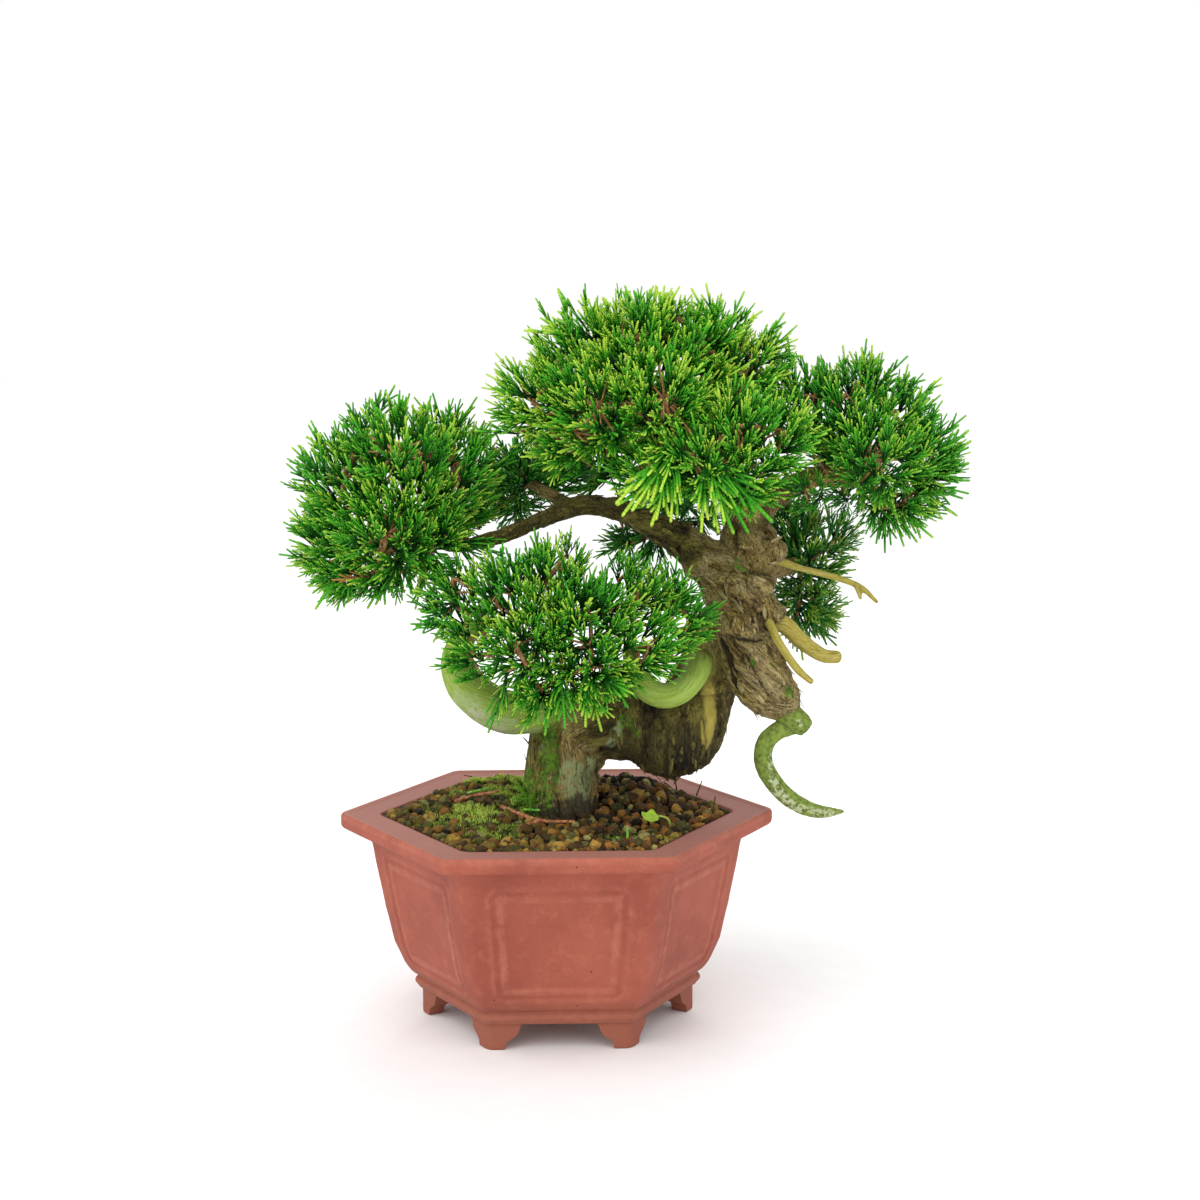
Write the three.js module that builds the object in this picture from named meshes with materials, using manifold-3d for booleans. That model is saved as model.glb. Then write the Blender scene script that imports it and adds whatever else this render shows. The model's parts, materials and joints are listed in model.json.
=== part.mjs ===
// A Chinese juniper bonsai in a six-sided unglazed clay pot: a trunk that doubles back on itself, stripped
// and curled deadwood, foliage pads of scale-leaved shoots, gritty soil, a screen over the drain hole and a
// few things that lie on the soil. Millimetres, +Z up. Everything is placed round the pot's axis, with z = 0
// where the feet stand, and at the end the whole is moved so that the origin lies under its middle.
import * as THREE from "three";
import { mergeVertices } from "three/addons/utils/BufferGeometryUtils.js";
import Module from "manifold-3d";

const wasm = await Module();
wasm.setup();

// Pot: every radius is to a corner of the hexagon, and a flat side lies at 0.866 of it.
const rimRadius = 110;
const openingRadius = 90;
const rimTop = 103.8;
const rimBead = 0.9;
const undersideZ = 13.5;
const floorZ = 21.5;
const drainRadius = 9;
const flatShare = Math.cos(Math.PI / 6);

// Outside of the pot from the underside up to the rim: [z, radius, corner rounding].
const potOutside = [
  [undersideZ, 71.2, 4],
  [16.4, 73.6, 4],
  [18.4, 73.2, 4],
  [19.8, 72.2, 4],
  [22, 75.4, 5],
  [27.5, 79.4, 6],
  [38, 84.2, 7],
  [56, 88.6, 8],
  [86, 94.2, 8],
  [93, 96.6, 8],
  [95.6, 99.6, 6],
  [96.8, 108.4, 5],
  [100, rimRadius, 5],
  [103.4, rimRadius, 5],
  [rimTop + rimBead, 108.8, 5],
  [rimTop + rimBead, 106.8, 5],
  [rimTop, 105.8, 5],
];

// Inside of the pot from the rim down to the floor.
const potInside = [
  [rimTop, openingRadius + 0.8, 7],
  [rimTop - 0.8, openingRadius, 7],
  [90, 86.4, 7],
  [62, 82, 7],
  [38, 75.4, 7],
  [28, 70, 7],
  [floorZ, 62, 7],
];

// Sunk panel on each face: height range, half width at the bottom and at the top, and depth.
const panel = { low: 27.9, high: 84.8, halfLow: 29.4, halfHigh: 32.8, depth: 1.1 };
const panelGroove = 1.5;
const panelBand = 4.2;
const bandDepth = 0.35;
const bandRoot = 0.6;
const panelReach = 60;

// Feet: six brackets, each wrapped round a corner of the base.
const footRadius = 69.8;
const footThickness = 8.5;
const footOutline = [[8.4, 0], [9.6, 4.6], [13.4, 6.2], [16.4, 9.4], [19, 15]];

// The screen that keeps the soil off the drain hole.
const screen = { side: 34, thickness: 0.9, border: 3, cells: 3, bar: 2.4 };

const gap = 0.35;
const woodGap = 0.4;

// Soil surface: level at the pot's wall and the mounds on it, [x, y, height, spread].
const soilEdge = 100.4;
const soilEdgeRadius = 89.2;
const mounds = [
  [6, -4, 5, 30],
  [34, 25, 11, 17],
  [-32, 44, 4.5, 24],
  [-45, -12, 2.5, 22],
];

// Wood. Each limb is a list of [x, y, z, radius] from its root outwards.
const limbs = {
  base: [
    [2, 3, 62, 6],
    [1.5, 3, 76, 13],
    [1.5, 2, 92, 19.5],
    [1.5, 0, 104, 19.5],
    [2, -1, 118, 18.6],
    [4, -2, 132, 18],
    [6.5, -2, 146, 17.8],
    [23, -3, 150.5, 18.6],
    [38, -3, 150, 19],
    [51, -2, 145.5, 20.5],
    [60, -2, 143, 20.8],
    [65, -1, 150.5, 20],
    [71.5, 3, 162, 18],
    [78, 9, 176, 16],
    [82, 10, 190, 15],
    [88, 6, 204, 13],
  ],
  upper: [
    [116, -13, 156, 5.5],
    [112.5, -12, 160, 9.6],
    [105, -11, 170, 14.3],
    [98.5, -8, 182, 15.4],
    [94, -5, 194, 14.6],
    [94, -2, 207, 15.4],
    [87.5, 1, 219, 14.8],
    [79, 3, 228.5, 12.4],
    [67, 4, 237.5, 9.2],
    [52, 4, 247, 7.4],
    [35, 4, 254.8, 6.2],
    [21, 3, 259, 5.5],
    [8.5, 3, 258.5, 5.4],
    [-4, 1, 253.5, 5],
    [-17, -1, 248.5, 4.4],
    [-31, -3, 243.5, 4],
    [-49, -4, 241, 3.6],
    [-66, -3, 246, 2.9],
  ],
  leader: [
    [90, 1, 206, 10],
    [96, 5, 224, 14.5],
    [97, 7, 238, 14.2],
    [97, 9, 250, 11],
    [92, 8, 263, 8.6],
    [81, 6, 278, 7],
    [67, 5, 291, 5.8],
    [52, 3, 302, 4.4],
    [42, 2, 310, 3],
  ],
  toRight: [
    [98, 9, 246, 6],
    [111, 12, 262, 5.6],
    [129, 13, 271, 4.8],
    [146, 10, 276, 4],
    [154, 7, 279, 3],
  ],
  toBackRight: [
    [94, 6, 222, 6],
    [106, 21, 222, 5.6],
    [118, 36, 223, 4.6],
    [127, 45, 224, 3],
  ],
  toFrontRight: [
    [95, 6, 246, 6],
    [96, -8, 262, 5.6],
    [93, -20, 272, 4.8],
    [88, -29, 277, 3],
  ],
  toBack: [
    [82, 7, 274, 5.6],
    [74, 26, 280, 5.2],
    [66, 46, 284, 4.4],
    [61, 60, 286, 3],
  ],
  toMiddleLeft: [
    [8, 2, 258, 4.6],
    [0, 14, 262, 4.2],
    [-8, 27, 266, 3.7],
    [-13, 33, 268, 3],
  ],
  leftCurl: [
    [4, -6, 158, 9],
    [-12, -12, 158, 10.6],
    [-24, -16, 158.5, 11],
    [-35, -19, 164, 10.6],
    [-45, -20, 173.5, 9.6],
    [-49, -21, 186, 8],
    [-44, -24, 199, 5.4],
    [-32, -28, 206, 3],
  ],
  rightCurl: [
    [72, -2, 180, 7],
    [70, -13, 179, 6.6],
    [66, -22, 174.5, 6.3],
    [60, -28, 170.4, 6.3],
    [52.3, -31, 169.2, 6.5],
    [44.4, -32, 172.3, 6.3],
    [39.6, -31, 178.6, 5.6],
    [36.7, -30, 185.8, 4.6],
    [34.7, -30, 194.3, 2.8],
  ],
  longSpur: [
    [100, 3, 233, 4.4],
    [108, 2, 232, 3.2],
    [122, 0.5, 227.5, 2.2],
    [140, -3, 223, 1.9],
    [152, -5, 218.3, 1.8],
    [160, -7, 211, 1.1],
  ],
  sideSpur: [
    [150, -5, 219.5, 1.7],
    [151, -5, 216, 1.4],
    [152, -5, 212.4, 0.9],
  ],
  shortSpur: [
    [104, -4, 203, 5.2],
    [114, -6, 199.7, 4.6],
    [120.3, -9, 193.6, 4.2],
    [127, -12, 188.5, 3.8],
    [133, -14, 185.3, 3.5],
    [139.6, -15, 184.9, 3.3],
  ],
  thinSpur: [
    [102, -13, 207, 2.4],
    [106, -18.5, 202.5, 2.2],
    [108, -22, 196.5, 2.2],
    [113, -23, 188, 2.1],
    [119.4, -23, 179.5, 2],
    [125.8, -23, 173.9, 1.5],
  ],
  knob: [
    [111, -12, 161, 5.6],
    [117, -14, 154.5, 6.6],
    [121.5, -15, 151.2, 6],
    [124.5, -15.5, 148.6, 4.6],
  ],
  hook: [
    [117, -14, 150.5, 4.9],
    [109.2, -14.5, 147.1, 4.6],
    [104.2, -15, 142.2, 4.7],
    [102.7, -15, 134.6, 4.7],
    [104.3, -15, 127.9, 4.7],
    [107.3, -15, 122.8, 4.6],
    [111.4, -15, 117.6, 4.5],
    [116.5, -15, 113, 4.4],
    [122.5, -15, 109.3, 4.2],
    [129.6, -15, 106.7, 3.6],
    [136.6, -15, 106.1, 2.6],
    [143.2, -15, 106.3, 0.9],
  ],
};

// How each thick limb is cut: steps along it, sides round it, and the ribs of its bark.
const limbForm = {
  base: { steps: 17, sides: 12, ribs: 5, ribDepth: 0.075, twist: 1.5 },
  upper: { steps: 18, sides: 9, ribs: 4, ribDepth: 0.08, twist: 2.6 },
  leader: { steps: 8, sides: 8, ribs: 3, ribDepth: 0.09, twist: 1.2 },
  leftCurl: { steps: 10, sides: 8 },
  rightCurl: { steps: 10, sides: 7 },
  hook: { steps: 11, sides: 5 },
  knob: { steps: 4, sides: 7 },
  sideSpur: { steps: 2, sides: 5 },
};
const thinForm = { steps: 5, sides: 5 };

// Burrs and closed-over scars on the trunk: [x, y, z, radius].
const burrs = [
  [87, -8, 224, 8.5],
  [101, -9, 222, 7.5],
  [109, 2, 236, 6.5],
  [99, -2, 243, 11],
  [71, -1, 231, 9.5],
  [92, -11, 211, 8],
  [108, -5, 205, 7],
  [110, -22, 168, 6],
  [62, -17, 136, 9],
  [-6, -6, 107, 9],
  [12, 12, 107, 10],
];

// Foliage: each pad is the leafy end of one branch, built of round clusters [x, y, z, radius].
const pads = {
  foliage_left: [
    [-104, 0, 275, 28],
    [-76, -14, 288, 29],
    [-51, 6, 281, 27],
    [-111, 4, 243, 25],
    [-82, -24, 249, 28],
    [-103, -4, 228, 19],
    [-58, -13, 246, 20],
    [-79, 38, 259, 28],
    [-46, 34, 258, 22],
  ],
  foliage_middle_left: [
    [-18, 34, 274, 21],
    [-22, 50, 258, 20],
    [4, 50, 277, 21],
  ],
  foliage_crown: [
    [-11, -6, 312, 25],
    [12, 4, 335, 27],
    [42, 0, 342, 28],
    [73, 6, 340, 26],
    [21, -32, 309, 28],
    [52, -34, 314, 28],
    [94, 2, 324, 25],
    [2, -16, 292, 20],
    [49, 38, 330, 28],
    [16, 38, 312, 26],
    [80, 40, 322, 26],
  ],
  foliage_front_right: [
    [64, -46, 288, 22],
    [86, -36, 301, 24],
    [110, -24, 298, 22],
    [92, -38, 274, 20],
    [40, -36, 281, 19],
  ],
  foliage_right: [
    [141, 4, 309, 24],
    [167, 10, 306, 24],
    [184, 4, 287, 22],
    [158, -20, 283, 24],
    [176, 8, 262, 20],
    [149, 32, 280, 23],
  ],
  foliage_back_right: [
    [135, 46, 226, 22],
    [130, 50, 203, 20],
    [155, 52, 236, 19],
    [122, 62, 245, 21],
  ],
  foliage_front_low: [
    [-51, -28, 214, 20],
    [-27, -36, 222, 23],
    [-4, -32, 228, 22],
    [-20, -48, 197, 23],
    [16, -44, 211, 24],
    [40, -33, 219, 20],
    [16, -52, 188, 22],
    [44, -46, 197, 22],
    [65, -34, 206, 17],
    [-8, -50, 176, 18],
    [-42, -44, 192, 17],
  ],
  foliage_back: [
    [46, 84, 296, 28],
    [89, 86, 290, 26],
    [14, 80, 278, 25],
    [68, 94, 264, 24],
    [52, 64, 237, 21],
  ],
};
// The limb, or limbs, whose end each pad grows from.
const padCarriers = {
  foliage_left: ["upper"],
  foliage_middle_left: ["toMiddleLeft"],
  foliage_crown: ["leader"],
  foliage_front_right: ["toFrontRight"],
  foliage_right: ["toRight"],
  foliage_back_right: ["toBackRight"],
  foliage_front_low: ["leftCurl", "rightCurl"],
  foliage_back: ["toBack"],
};
// A pad's twigs meet in a socket round its limb's end and in a small core in each cluster.
const socketRadius = 7;
const coreShare = 0.5;
const coreFaceShare = coreShare / Math.sqrt(3);
const twigRadius = 1.7;

// A spray: how many tips, the radius and place of its waist, how deep its tips part, how far they lean out
// in radians, and how far its foot sinks into the core.
const spray = { tips: 5, waist: 4.4, waistAt: 0.36, crotchAt: 0.26, spread: 0.66, rootDepth: 3 };
const tipRadius = 1.4;
const shortestTip = 5;
const ownSprayRoom = 0.62;
const hiddenShare = 1.02;
const seed = 41;

const stoneCount = 40;
const stoneLeast = 3;
const stoneMost = 6;
const stoneSink = 0.8;
const clay = { color: 0xa4564a, roughness: 0.8, metalness: 0 };
const bark = { color: 0x6b5a3c, roughness: 0.9, metalness: 0 };
const leaf = { color: 0x2f8a2a, roughness: 0.65, metalness: 0 };
const grit = { color: 0x6b4a2a, roughness: 0.95, metalness: 0 };
const twigBrown = { color: 0x8a4a2c, roughness: 0.9, metalness: 0 };
const screenBlack = { color: 0x1c1e1d, roughness: 0.6, metalness: 0 };
const weedGreen = { color: 0x8fc02f, roughness: 0.6, metalness: 0 };

// A seeded generator of numbers from 0 to 1.
function randomFrom(start) {
  let state = start;
  return () => {
    state = (state + 0x6d2b79f5) | 0;
    let t = Math.imul(state ^ (state >>> 15), 1 | state);
    t = (t + Math.imul(t ^ (t >>> 7), 61 | t)) ^ t;
    return ((t ^ (t >>> 14)) >>> 0) / 4294967296;
  };
}

function solidOf(geometry) {
  const bare = new THREE.BufferGeometry();
  const flat = geometry.index ? geometry.toNonIndexed() : geometry;
  bare.setAttribute("position", flat.getAttribute("position"));
  const merged = mergeVertices(bare, 1e-4);
  const vertProperties = merged.attributes.position.array;
  const triVerts = new Uint32Array(merged.index.array);
  return new wasm.Manifold(new wasm.Mesh({ numProp: 3, vertProperties, triVerts }));
}

function joined(solids) {
  return wasm.Manifold.union(solids);
}

// The largest body of a solid, without the loose scraps that cutting leaves.
function largestBody(solid) {
  return solid.decompose().reduce((best, body) => (body.volume() > best.volume() ? body : best));
}

function meshOf(solid, name, look) {
  const made = solid.getMesh();
  const position = new Float32Array(made.numVert * 3);
  for (let i = 0; i < made.numVert; i++) {
    position.set(made.vertProperties.subarray(i * made.numProp, i * made.numProp + 3), i * 3);
  }
  const geometry = new THREE.BufferGeometry();
  geometry.setAttribute("position", new THREE.BufferAttribute(position, 3));
  geometry.setIndex(new THREE.BufferAttribute(made.triVerts, 1));
  geometry.computeVertexNormals();
  const mesh = new THREE.Mesh(geometry, new THREE.MeshStandardMaterial(look));
  mesh.name = name;
  return mesh;
}

// A closed skin over a row of rings with the same number of points, each end closed by a fan.
function loft(rings) {
  const around = rings[0].length;
  const middle = (ring) =>
    ring.reduce((sum, p) => sum.add(p), new THREE.Vector3()).divideScalar(ring.length);
  const points = [...rings.flat(), middle(rings[0]), middle(rings.at(-1))];
  const first = points.length - 2;
  const last = points.length - 1;
  const index = [];
  for (let i = 0; i < rings.length - 1; i++) {
    for (let j = 0; j < around; j++) {
      const next = (j + 1) % around;
      const [a, b] = [i * around + j, i * around + next];
      const [c, d] = [b + around, a + around];
      index.push(a, b, c, a, c, d);
    }
  }
  const top = (rings.length - 1) * around;
  for (let j = 0; j < around; j++) {
    const next = (j + 1) % around;
    index.push(first, next, j, last, top + j, top + next);
  }
  return new THREE.BufferGeometry().setFromPoints(points).setIndex(index);
}

// One ring of the pot: a hexagon with rounded corners, its first corner on +X.
function hexRing(z, radius, rounding, share = 1) {
  const ring = [];
  const arcAngles = [-30, 0, 30];
  for (let corner = 0; corner < 6; corner++) {
    const cornerAngle = (corner * Math.PI) / 3;
    const reach = (radius - rounding / flatShare) * share;
    for (const turn of arcAngles) {
      const angle = cornerAngle + THREE.MathUtils.degToRad(turn);
      ring.push(
        new THREE.Vector3(
          reach * Math.cos(cornerAngle) + rounding * share * Math.cos(angle),
          reach * Math.sin(cornerAngle) + rounding * share * Math.sin(angle),
          z,
        ),
      );
    }
  }
  return ring;
}

// A solid through a profile of [z, radius, rounding], with its flat sides moved in by an inset.
function hexLoft(profile, inset = 0) {
  const rings = profile.map(([z, radius, rounding]) => hexRing(z, radius - inset / flatShare, rounding));
  return solidOf(loft(rings));
}

// A prism whose trapezoid outline lies on face number k of the pot, reaching through its wall.
function facePrism(k, low, high, halfLow, halfHigh) {
  const outline = new THREE.Shape();
  outline.moveTo(-halfLow, low);
  outline.lineTo(halfLow, low);
  outline.lineTo(halfHigh, high);
  outline.lineTo(-halfHigh, high);
  const geometry = new THREE.ExtrudeGeometry(outline, { depth: panelReach, bevelEnabled: false });
  geometry.rotateX(Math.PI / 2);
  geometry.translate(0, panelReach - rimRadius, 0);
  geometry.rotateZ((k * Math.PI) / 3);
  return solidOf(geometry);
}

function insetPrisms(inset) {
  const prisms = [];
  const { low, high, halfLow, halfHigh } = panel;
  for (let k = 0; k < 6; k++) {
    prisms.push(facePrism(k, low + inset, high - inset, halfLow - inset, halfHigh - inset));
  }
  return joined(prisms);
}

// One wing of a foot: a plate along a face, from a corner, with a scalloped inner edge.
function footWing(corner, side) {
  const outline = new THREE.Shape();
  outline.moveTo(-2, 0);
  footOutline.forEach(([x, z]) => outline.lineTo(x, z));
  outline.lineTo(-2, footOutline.at(-1)[1]);
  const geometry = new THREE.ExtrudeGeometry(outline, { depth: footThickness, bevelEnabled: false });
  // The plate lies in the XZ plane behind the front face, and its start is on the face's left corner.
  geometry.rotateX(Math.PI / 2);
  geometry.translate(-footRadius / 2, -footRadius * flatShare + footThickness, 0);
  if (side < 0) geometry.applyMatrix4(new THREE.Matrix4().makeScale(-1, 1, 1));
  geometry.rotateZ((corner * Math.PI) / 3);
  if (side < 0) return solidOf(flipped(geometry));
  return solidOf(geometry);
}

// The same geometry with its faces turned round, for a piece that was mirrored.
function flipped(geometry) {
  const flat = geometry.index ? geometry.toNonIndexed() : geometry;
  const position = flat.getAttribute("position");
  const turned = new Float32Array(position.count * 3);
  for (let i = 0; i < position.count; i += 3) {
    [0, 2, 1].forEach((from, to) => {
      turned.set([position.getX(i + from), position.getY(i + from), position.getZ(i + from)], (i + to) * 3);
    });
  }
  return new THREE.BufferGeometry().setAttribute("position", new THREE.BufferAttribute(turned, 3));
}

function makePot() {
  const shell = hexLoft([...potOutside, ...potInside]);
  const drain = new THREE.CylinderGeometry(drainRadius, drainRadius, 2 * floorZ, 20).rotateX(Math.PI / 2);
  drain.translate(0, 0, floorZ);
  const body = potOutside.filter(([z]) => z < 95);
  const sunk = insetPrisms(0).subtract(hexLoft(body, panel.depth));
  const bandPrisms = insetPrisms(panelGroove).subtract(insetPrisms(panelGroove + panelBand));
  const bandFront = bandPrisms.intersect(hexLoft(body, bandDepth));
  const band = bandFront.subtract(hexLoft(body, panel.depth + bandRoot));
  const wings = [];
  for (let corner = 0; corner < 6; corner++) {
    wings.push(footWing(corner, 1), footWing(corner, -1));
  }
  const footHeight = footOutline.at(-1)[1];
  const feet = joined(wings).intersect(hexLoft([[0, footRadius, 4], [footHeight, footRadius, 4]]));
  return joined([shell.subtract(sunk).subtract(solidOf(drain)), band, feet]);
}

// A limb: rings along a smooth curve through its stations, with ribs that wind round it.
function limbSolid(stations, form = thinForm, grow = 0) {
  const { steps, sides, ribs = 0, ribDepth = 0, twist = 0 } = form;
  const curve = new THREE.CatmullRomCurve3(
    stations.map(([x, y, z]) => new THREE.Vector3(x, y, z)),
    false,
    "centripetal",
  );
  const frames = curve.computeFrenetFrames(steps, false);
  const rings = [];
  for (let i = 0; i <= steps; i++) {
    const t = curve.getUtoTmapping(i / steps);
    const centre = curve.getPoint(t);
    const along = t * (stations.length - 1);
    const before = Math.min(Math.floor(along), stations.length - 2);
    const radius = THREE.MathUtils.lerp(stations[before][3], stations[before + 1][3], along - before);
    const ring = [];
    for (let j = 0; j < sides; j++) {
      const angle = (j / sides) * 2 * Math.PI;
      const wave = Math.cos(ribs * angle + (twist * i * 2 * Math.PI) / steps);
      const second = Math.cos((ribs - 2) * angle - (twist * i * 4) / steps + 1);
      const reach = radius * (1 + (ribs ? ribDepth * (wave + 0.6 * second) : 0)) + grow;
      ring.push(
        centre
          .clone()
          .addScaledVector(frames.normals[i], reach * Math.cos(angle))
          .addScaledVector(frames.binormals[i], reach * Math.sin(angle)),
      );
    }
    rings.push(ring);
  }
  return solidOf(loft(rings));
}

function woodSolid(grow = 0) {
  const solids = Object.entries(limbs).map(([name, stations]) => limbSolid(stations, limbForm[name], grow));
  for (const [x, y, z, radius] of burrs) {
    const burr = new THREE.IcosahedronGeometry(radius + grow, 0);
    burr.rotateZ(x);
    burr.scale(1, 1, 0.85);
    burr.translate(x, y, z);
    solids.push(solidOf(burr));
  }
  return joined(solids);
}

function soilHeight(x, y) {
  const rise = mounds.reduce((sum, [mx, my, height, spread]) => {
    const away = ((x - mx) ** 2 + (y - my) ** 2) / (2 * spread ** 2);
    return sum + height * Math.exp(-away);
  }, 0);
  return soilEdge + rise;
}

// True where a point is at least margin inside the hexagon of a given corner radius.
function insideHexagon(x, y, radius, margin) {
  for (let face = 0; face < 6; face++) {
    const angle = Math.PI / 6 + (face * Math.PI) / 3;
    if (x * Math.cos(angle) + y * Math.sin(angle) > radius * flatShare - margin) return false;
  }
  return true;
}

function makeSoil(wood, laidOnTop) {
  const random = randomFrom(seed + 5);
  const walls = potInside
    .filter(([z]) => z < soilEdge)
    .map(([z, radius, rounding]) => [z, radius - gap / flatShare, rounding])
    .reverse();
  walls[0] = [floorZ + gap, walls[0][1], walls[0][2]];
  const edgeRadius = soilEdgeRadius - gap / flatShare;
  walls.push([soilEdge, edgeRadius, 7]);
  const rings = walls.map(([z, radius, rounding]) => hexRing(z, radius, rounding));
  for (const share of [0.9, 0.74, 0.56, 0.38, 0.2]) {
    const ring = hexRing(soilEdge, edgeRadius, 7, share);
    ring.forEach((p) => p.setZ(THREE.MathUtils.lerp(soilEdge, soilHeight(p.x, p.y), share > 0.8 ? 0.5 : 1)));
    rings.push(ring);
  }
  const solids = [solidOf(loft(rings))];
  while (solids.length < stoneCount) {
    const x = (random() * 2 - 1) * openingRadius;
    const y = (random() * 2 - 1) * openingRadius * flatShare;
    if (!insideHexagon(x, y, openingRadius, 7)) continue;
    const stone = new THREE.OctahedronGeometry(stoneLeast + (stoneMost - stoneLeast) * random(), 0);
    stone.rotateX(random() * 6).rotateZ(random() * 6);
    stone.scale(1, 0.85, 0.75);
    stone.translate(x, y, soilHeight(x, y) - stoneSink);
    solids.push(solidOf(stone));
  }
  const pocketSide = screen.side + 2 * gap;
  const screenPocket = new THREE.BoxGeometry(pocketSide, pocketSide, 2 * (screen.thickness + 2 * gap));
  screenPocket.translate(0, 0, floorZ);
  const earth = joined(solids).subtract(wood).subtract(solidOf(screenPocket));
  return largestBody(laidOnTop.reduce((rest, piece) => rest.subtract(piece), earth));
}

function makeScreen() {
  const { side, thickness, border, cells, bar } = screen;
  const pitch = (side - border) / cells;
  const sheet = new THREE.BoxGeometry(side, side, thickness).translate(0, 0, thickness / 2);
  const holes = [];
  for (let i = 0; i < cells; i++) {
    for (let j = 0; j < cells; j++) {
      const hole = new THREE.BoxGeometry(pitch - bar, pitch - bar, 4 * thickness);
      hole.translate((i - cells / 2 + 0.5) * pitch, (j - cells / 2 + 0.5) * pitch, 0);
      holes.push(solidOf(hole));
    }
  }
  return solidOf(sheet).subtract(joined(holes)).translate([0, 0, floorZ + gap]);
}

// Points along a limb, as short straight stretches that a spray must stay clear of.
function stretchesOf(stations, owner) {
  const curve = new THREE.CatmullRomCurve3(stations.map(([x, y, z]) => new THREE.Vector3(x, y, z)));
  const stretches = [];
  for (let i = 0; i < stations.length - 1; i++) {
    for (const half of [0, 0.5]) {
      const from = (i + half) / (stations.length - 1);
      const to = (i + half + 0.5) / (stations.length - 1);
      const line = new THREE.Line3(curve.getPoint(from), curve.getPoint(to));
      stretches.push({ line, radius: Math.max(stations[i][3], stations[i + 1][3]) * 1.1, owner });
    }
  }
  return stretches;
}

const obstacles = Object.entries(limbs).flatMap(([name, stations]) => stretchesOf(stations, name));
for (const [x, y, z, radius] of burrs) {
  const spot = new THREE.Vector3(x, y, z);
  obstacles.push({ line: new THREE.Line3(spot, spot), radius, owner: "burr" });
}

// True where a straight piece of a pad keeps clear of the wood and the other pads, and doesn't lie in one of
// its own pad's sprays. It may sink into its own pad's cores and twigs.
function isClear(from, to, radius, owner) {
  const probe = new THREE.Vector3();
  const nearest = new THREE.Vector3();
  const samples = Math.ceil(from.distanceTo(to) / 1.5) + 1;
  const others = obstacles.filter((o) => o.owner !== owner || o.isSpray);
  for (let i = 0; i <= samples; i++) {
    probe.lerpVectors(from, to, i / samples);
    for (const { line, radius: thickness, owner: other } of others) {
      line.closestPointToPoint(probe, true, nearest);
      const room = other === owner ? (thickness + radius) * ownSprayRoom : thickness + radius + woodGap;
      if (probe.distanceTo(nearest) < room) return false;
    }
  }
  return true;
}

// A twig between two cores: thickest in its middle, with three sides that run out to a point in each core.
function spindle(from, to, radius) {
  const axis = new THREE.Vector3().subVectors(to, from).normalize();
  const side = new THREE.Vector3(0, 0, 1).cross(axis).normalize();
  const middle = new THREE.Vector3().lerpVectors(from, to, 0.5);
  const ring = [0, 1, 2].map((k) => {
    const arm = side.clone().applyAxisAngle(axis, (k * 2 * Math.PI) / 3);
    return middle.clone().addScaledVector(arm, radius);
  });
  const faces = ring.flatMap((point, k) => [from, ring[(k + 1) % 3], point, to, point, ring[(k + 1) % 3]]);
  return solidOf(new THREE.BufferGeometry().setFromPoints(faces));
}

// A spray of scale-leaved shoots: a slim foot that widens to a waist and splits there into pointed tips.
function sprayPoints(root, axis, length, turn, random) {
  const side = new THREE.Vector3(Math.cos(turn), Math.sin(turn), 0.4).cross(axis).normalize();
  const other = new THREE.Vector3().crossVectors(axis, side);
  const at = (along, reach, step) => {
    const angle = (step * 2 * Math.PI) / spray.tips;
    const point = root.clone().addScaledVector(axis, along);
    point.addScaledVector(side, reach * Math.cos(angle));
    return point.addScaledVector(other, reach * Math.sin(angle));
  };
  const waistAlong = length * spray.waistAt;
  const tips = [];
  for (let k = 0; k < spray.tips; k++) {
    const tipLength = length * (1 - spray.waistAt) * (0.85 + 0.3 * random());
    const spread = spray.spread * (0.75 + 0.5 * random());
    const along = waistAlong + tipLength * Math.cos(spread);
    tips.push(at(along, spray.waist * 0.6 + tipLength * Math.sin(spread), k + 0.5));
  }
  const waist = tips.map((_, k) => at(waistAlong, spray.waist, k));
  return { foot: at(-spray.rootDepth, 0, 0), waist, crotch: at(length * spray.crotchAt, 0, 0), tips };
}

function spraySolid({ foot, waist, crotch, tips }) {
  const faces = [];
  tips.forEach((tip, k) => {
    const [near, far] = [waist[k], waist[(k + 1) % tips.length]];
    faces.push(foot, far, near, near, far, tip, far, crotch, tip, crotch, near, tip);
  });
  return solidOf(new THREE.BufferGeometry().setFromPoints(faces));
}

// The core of a cluster: eight flat faces, each of which sprays can stand on.
function coreGeometry(centre, radius) {
  const geometry = new THREE.OctahedronGeometry(radius, 0);
  geometry.rotateX(centre.x).rotateZ(centre.y);
  return geometry.translate(centre.x, centre.y, centre.z);
}

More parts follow.
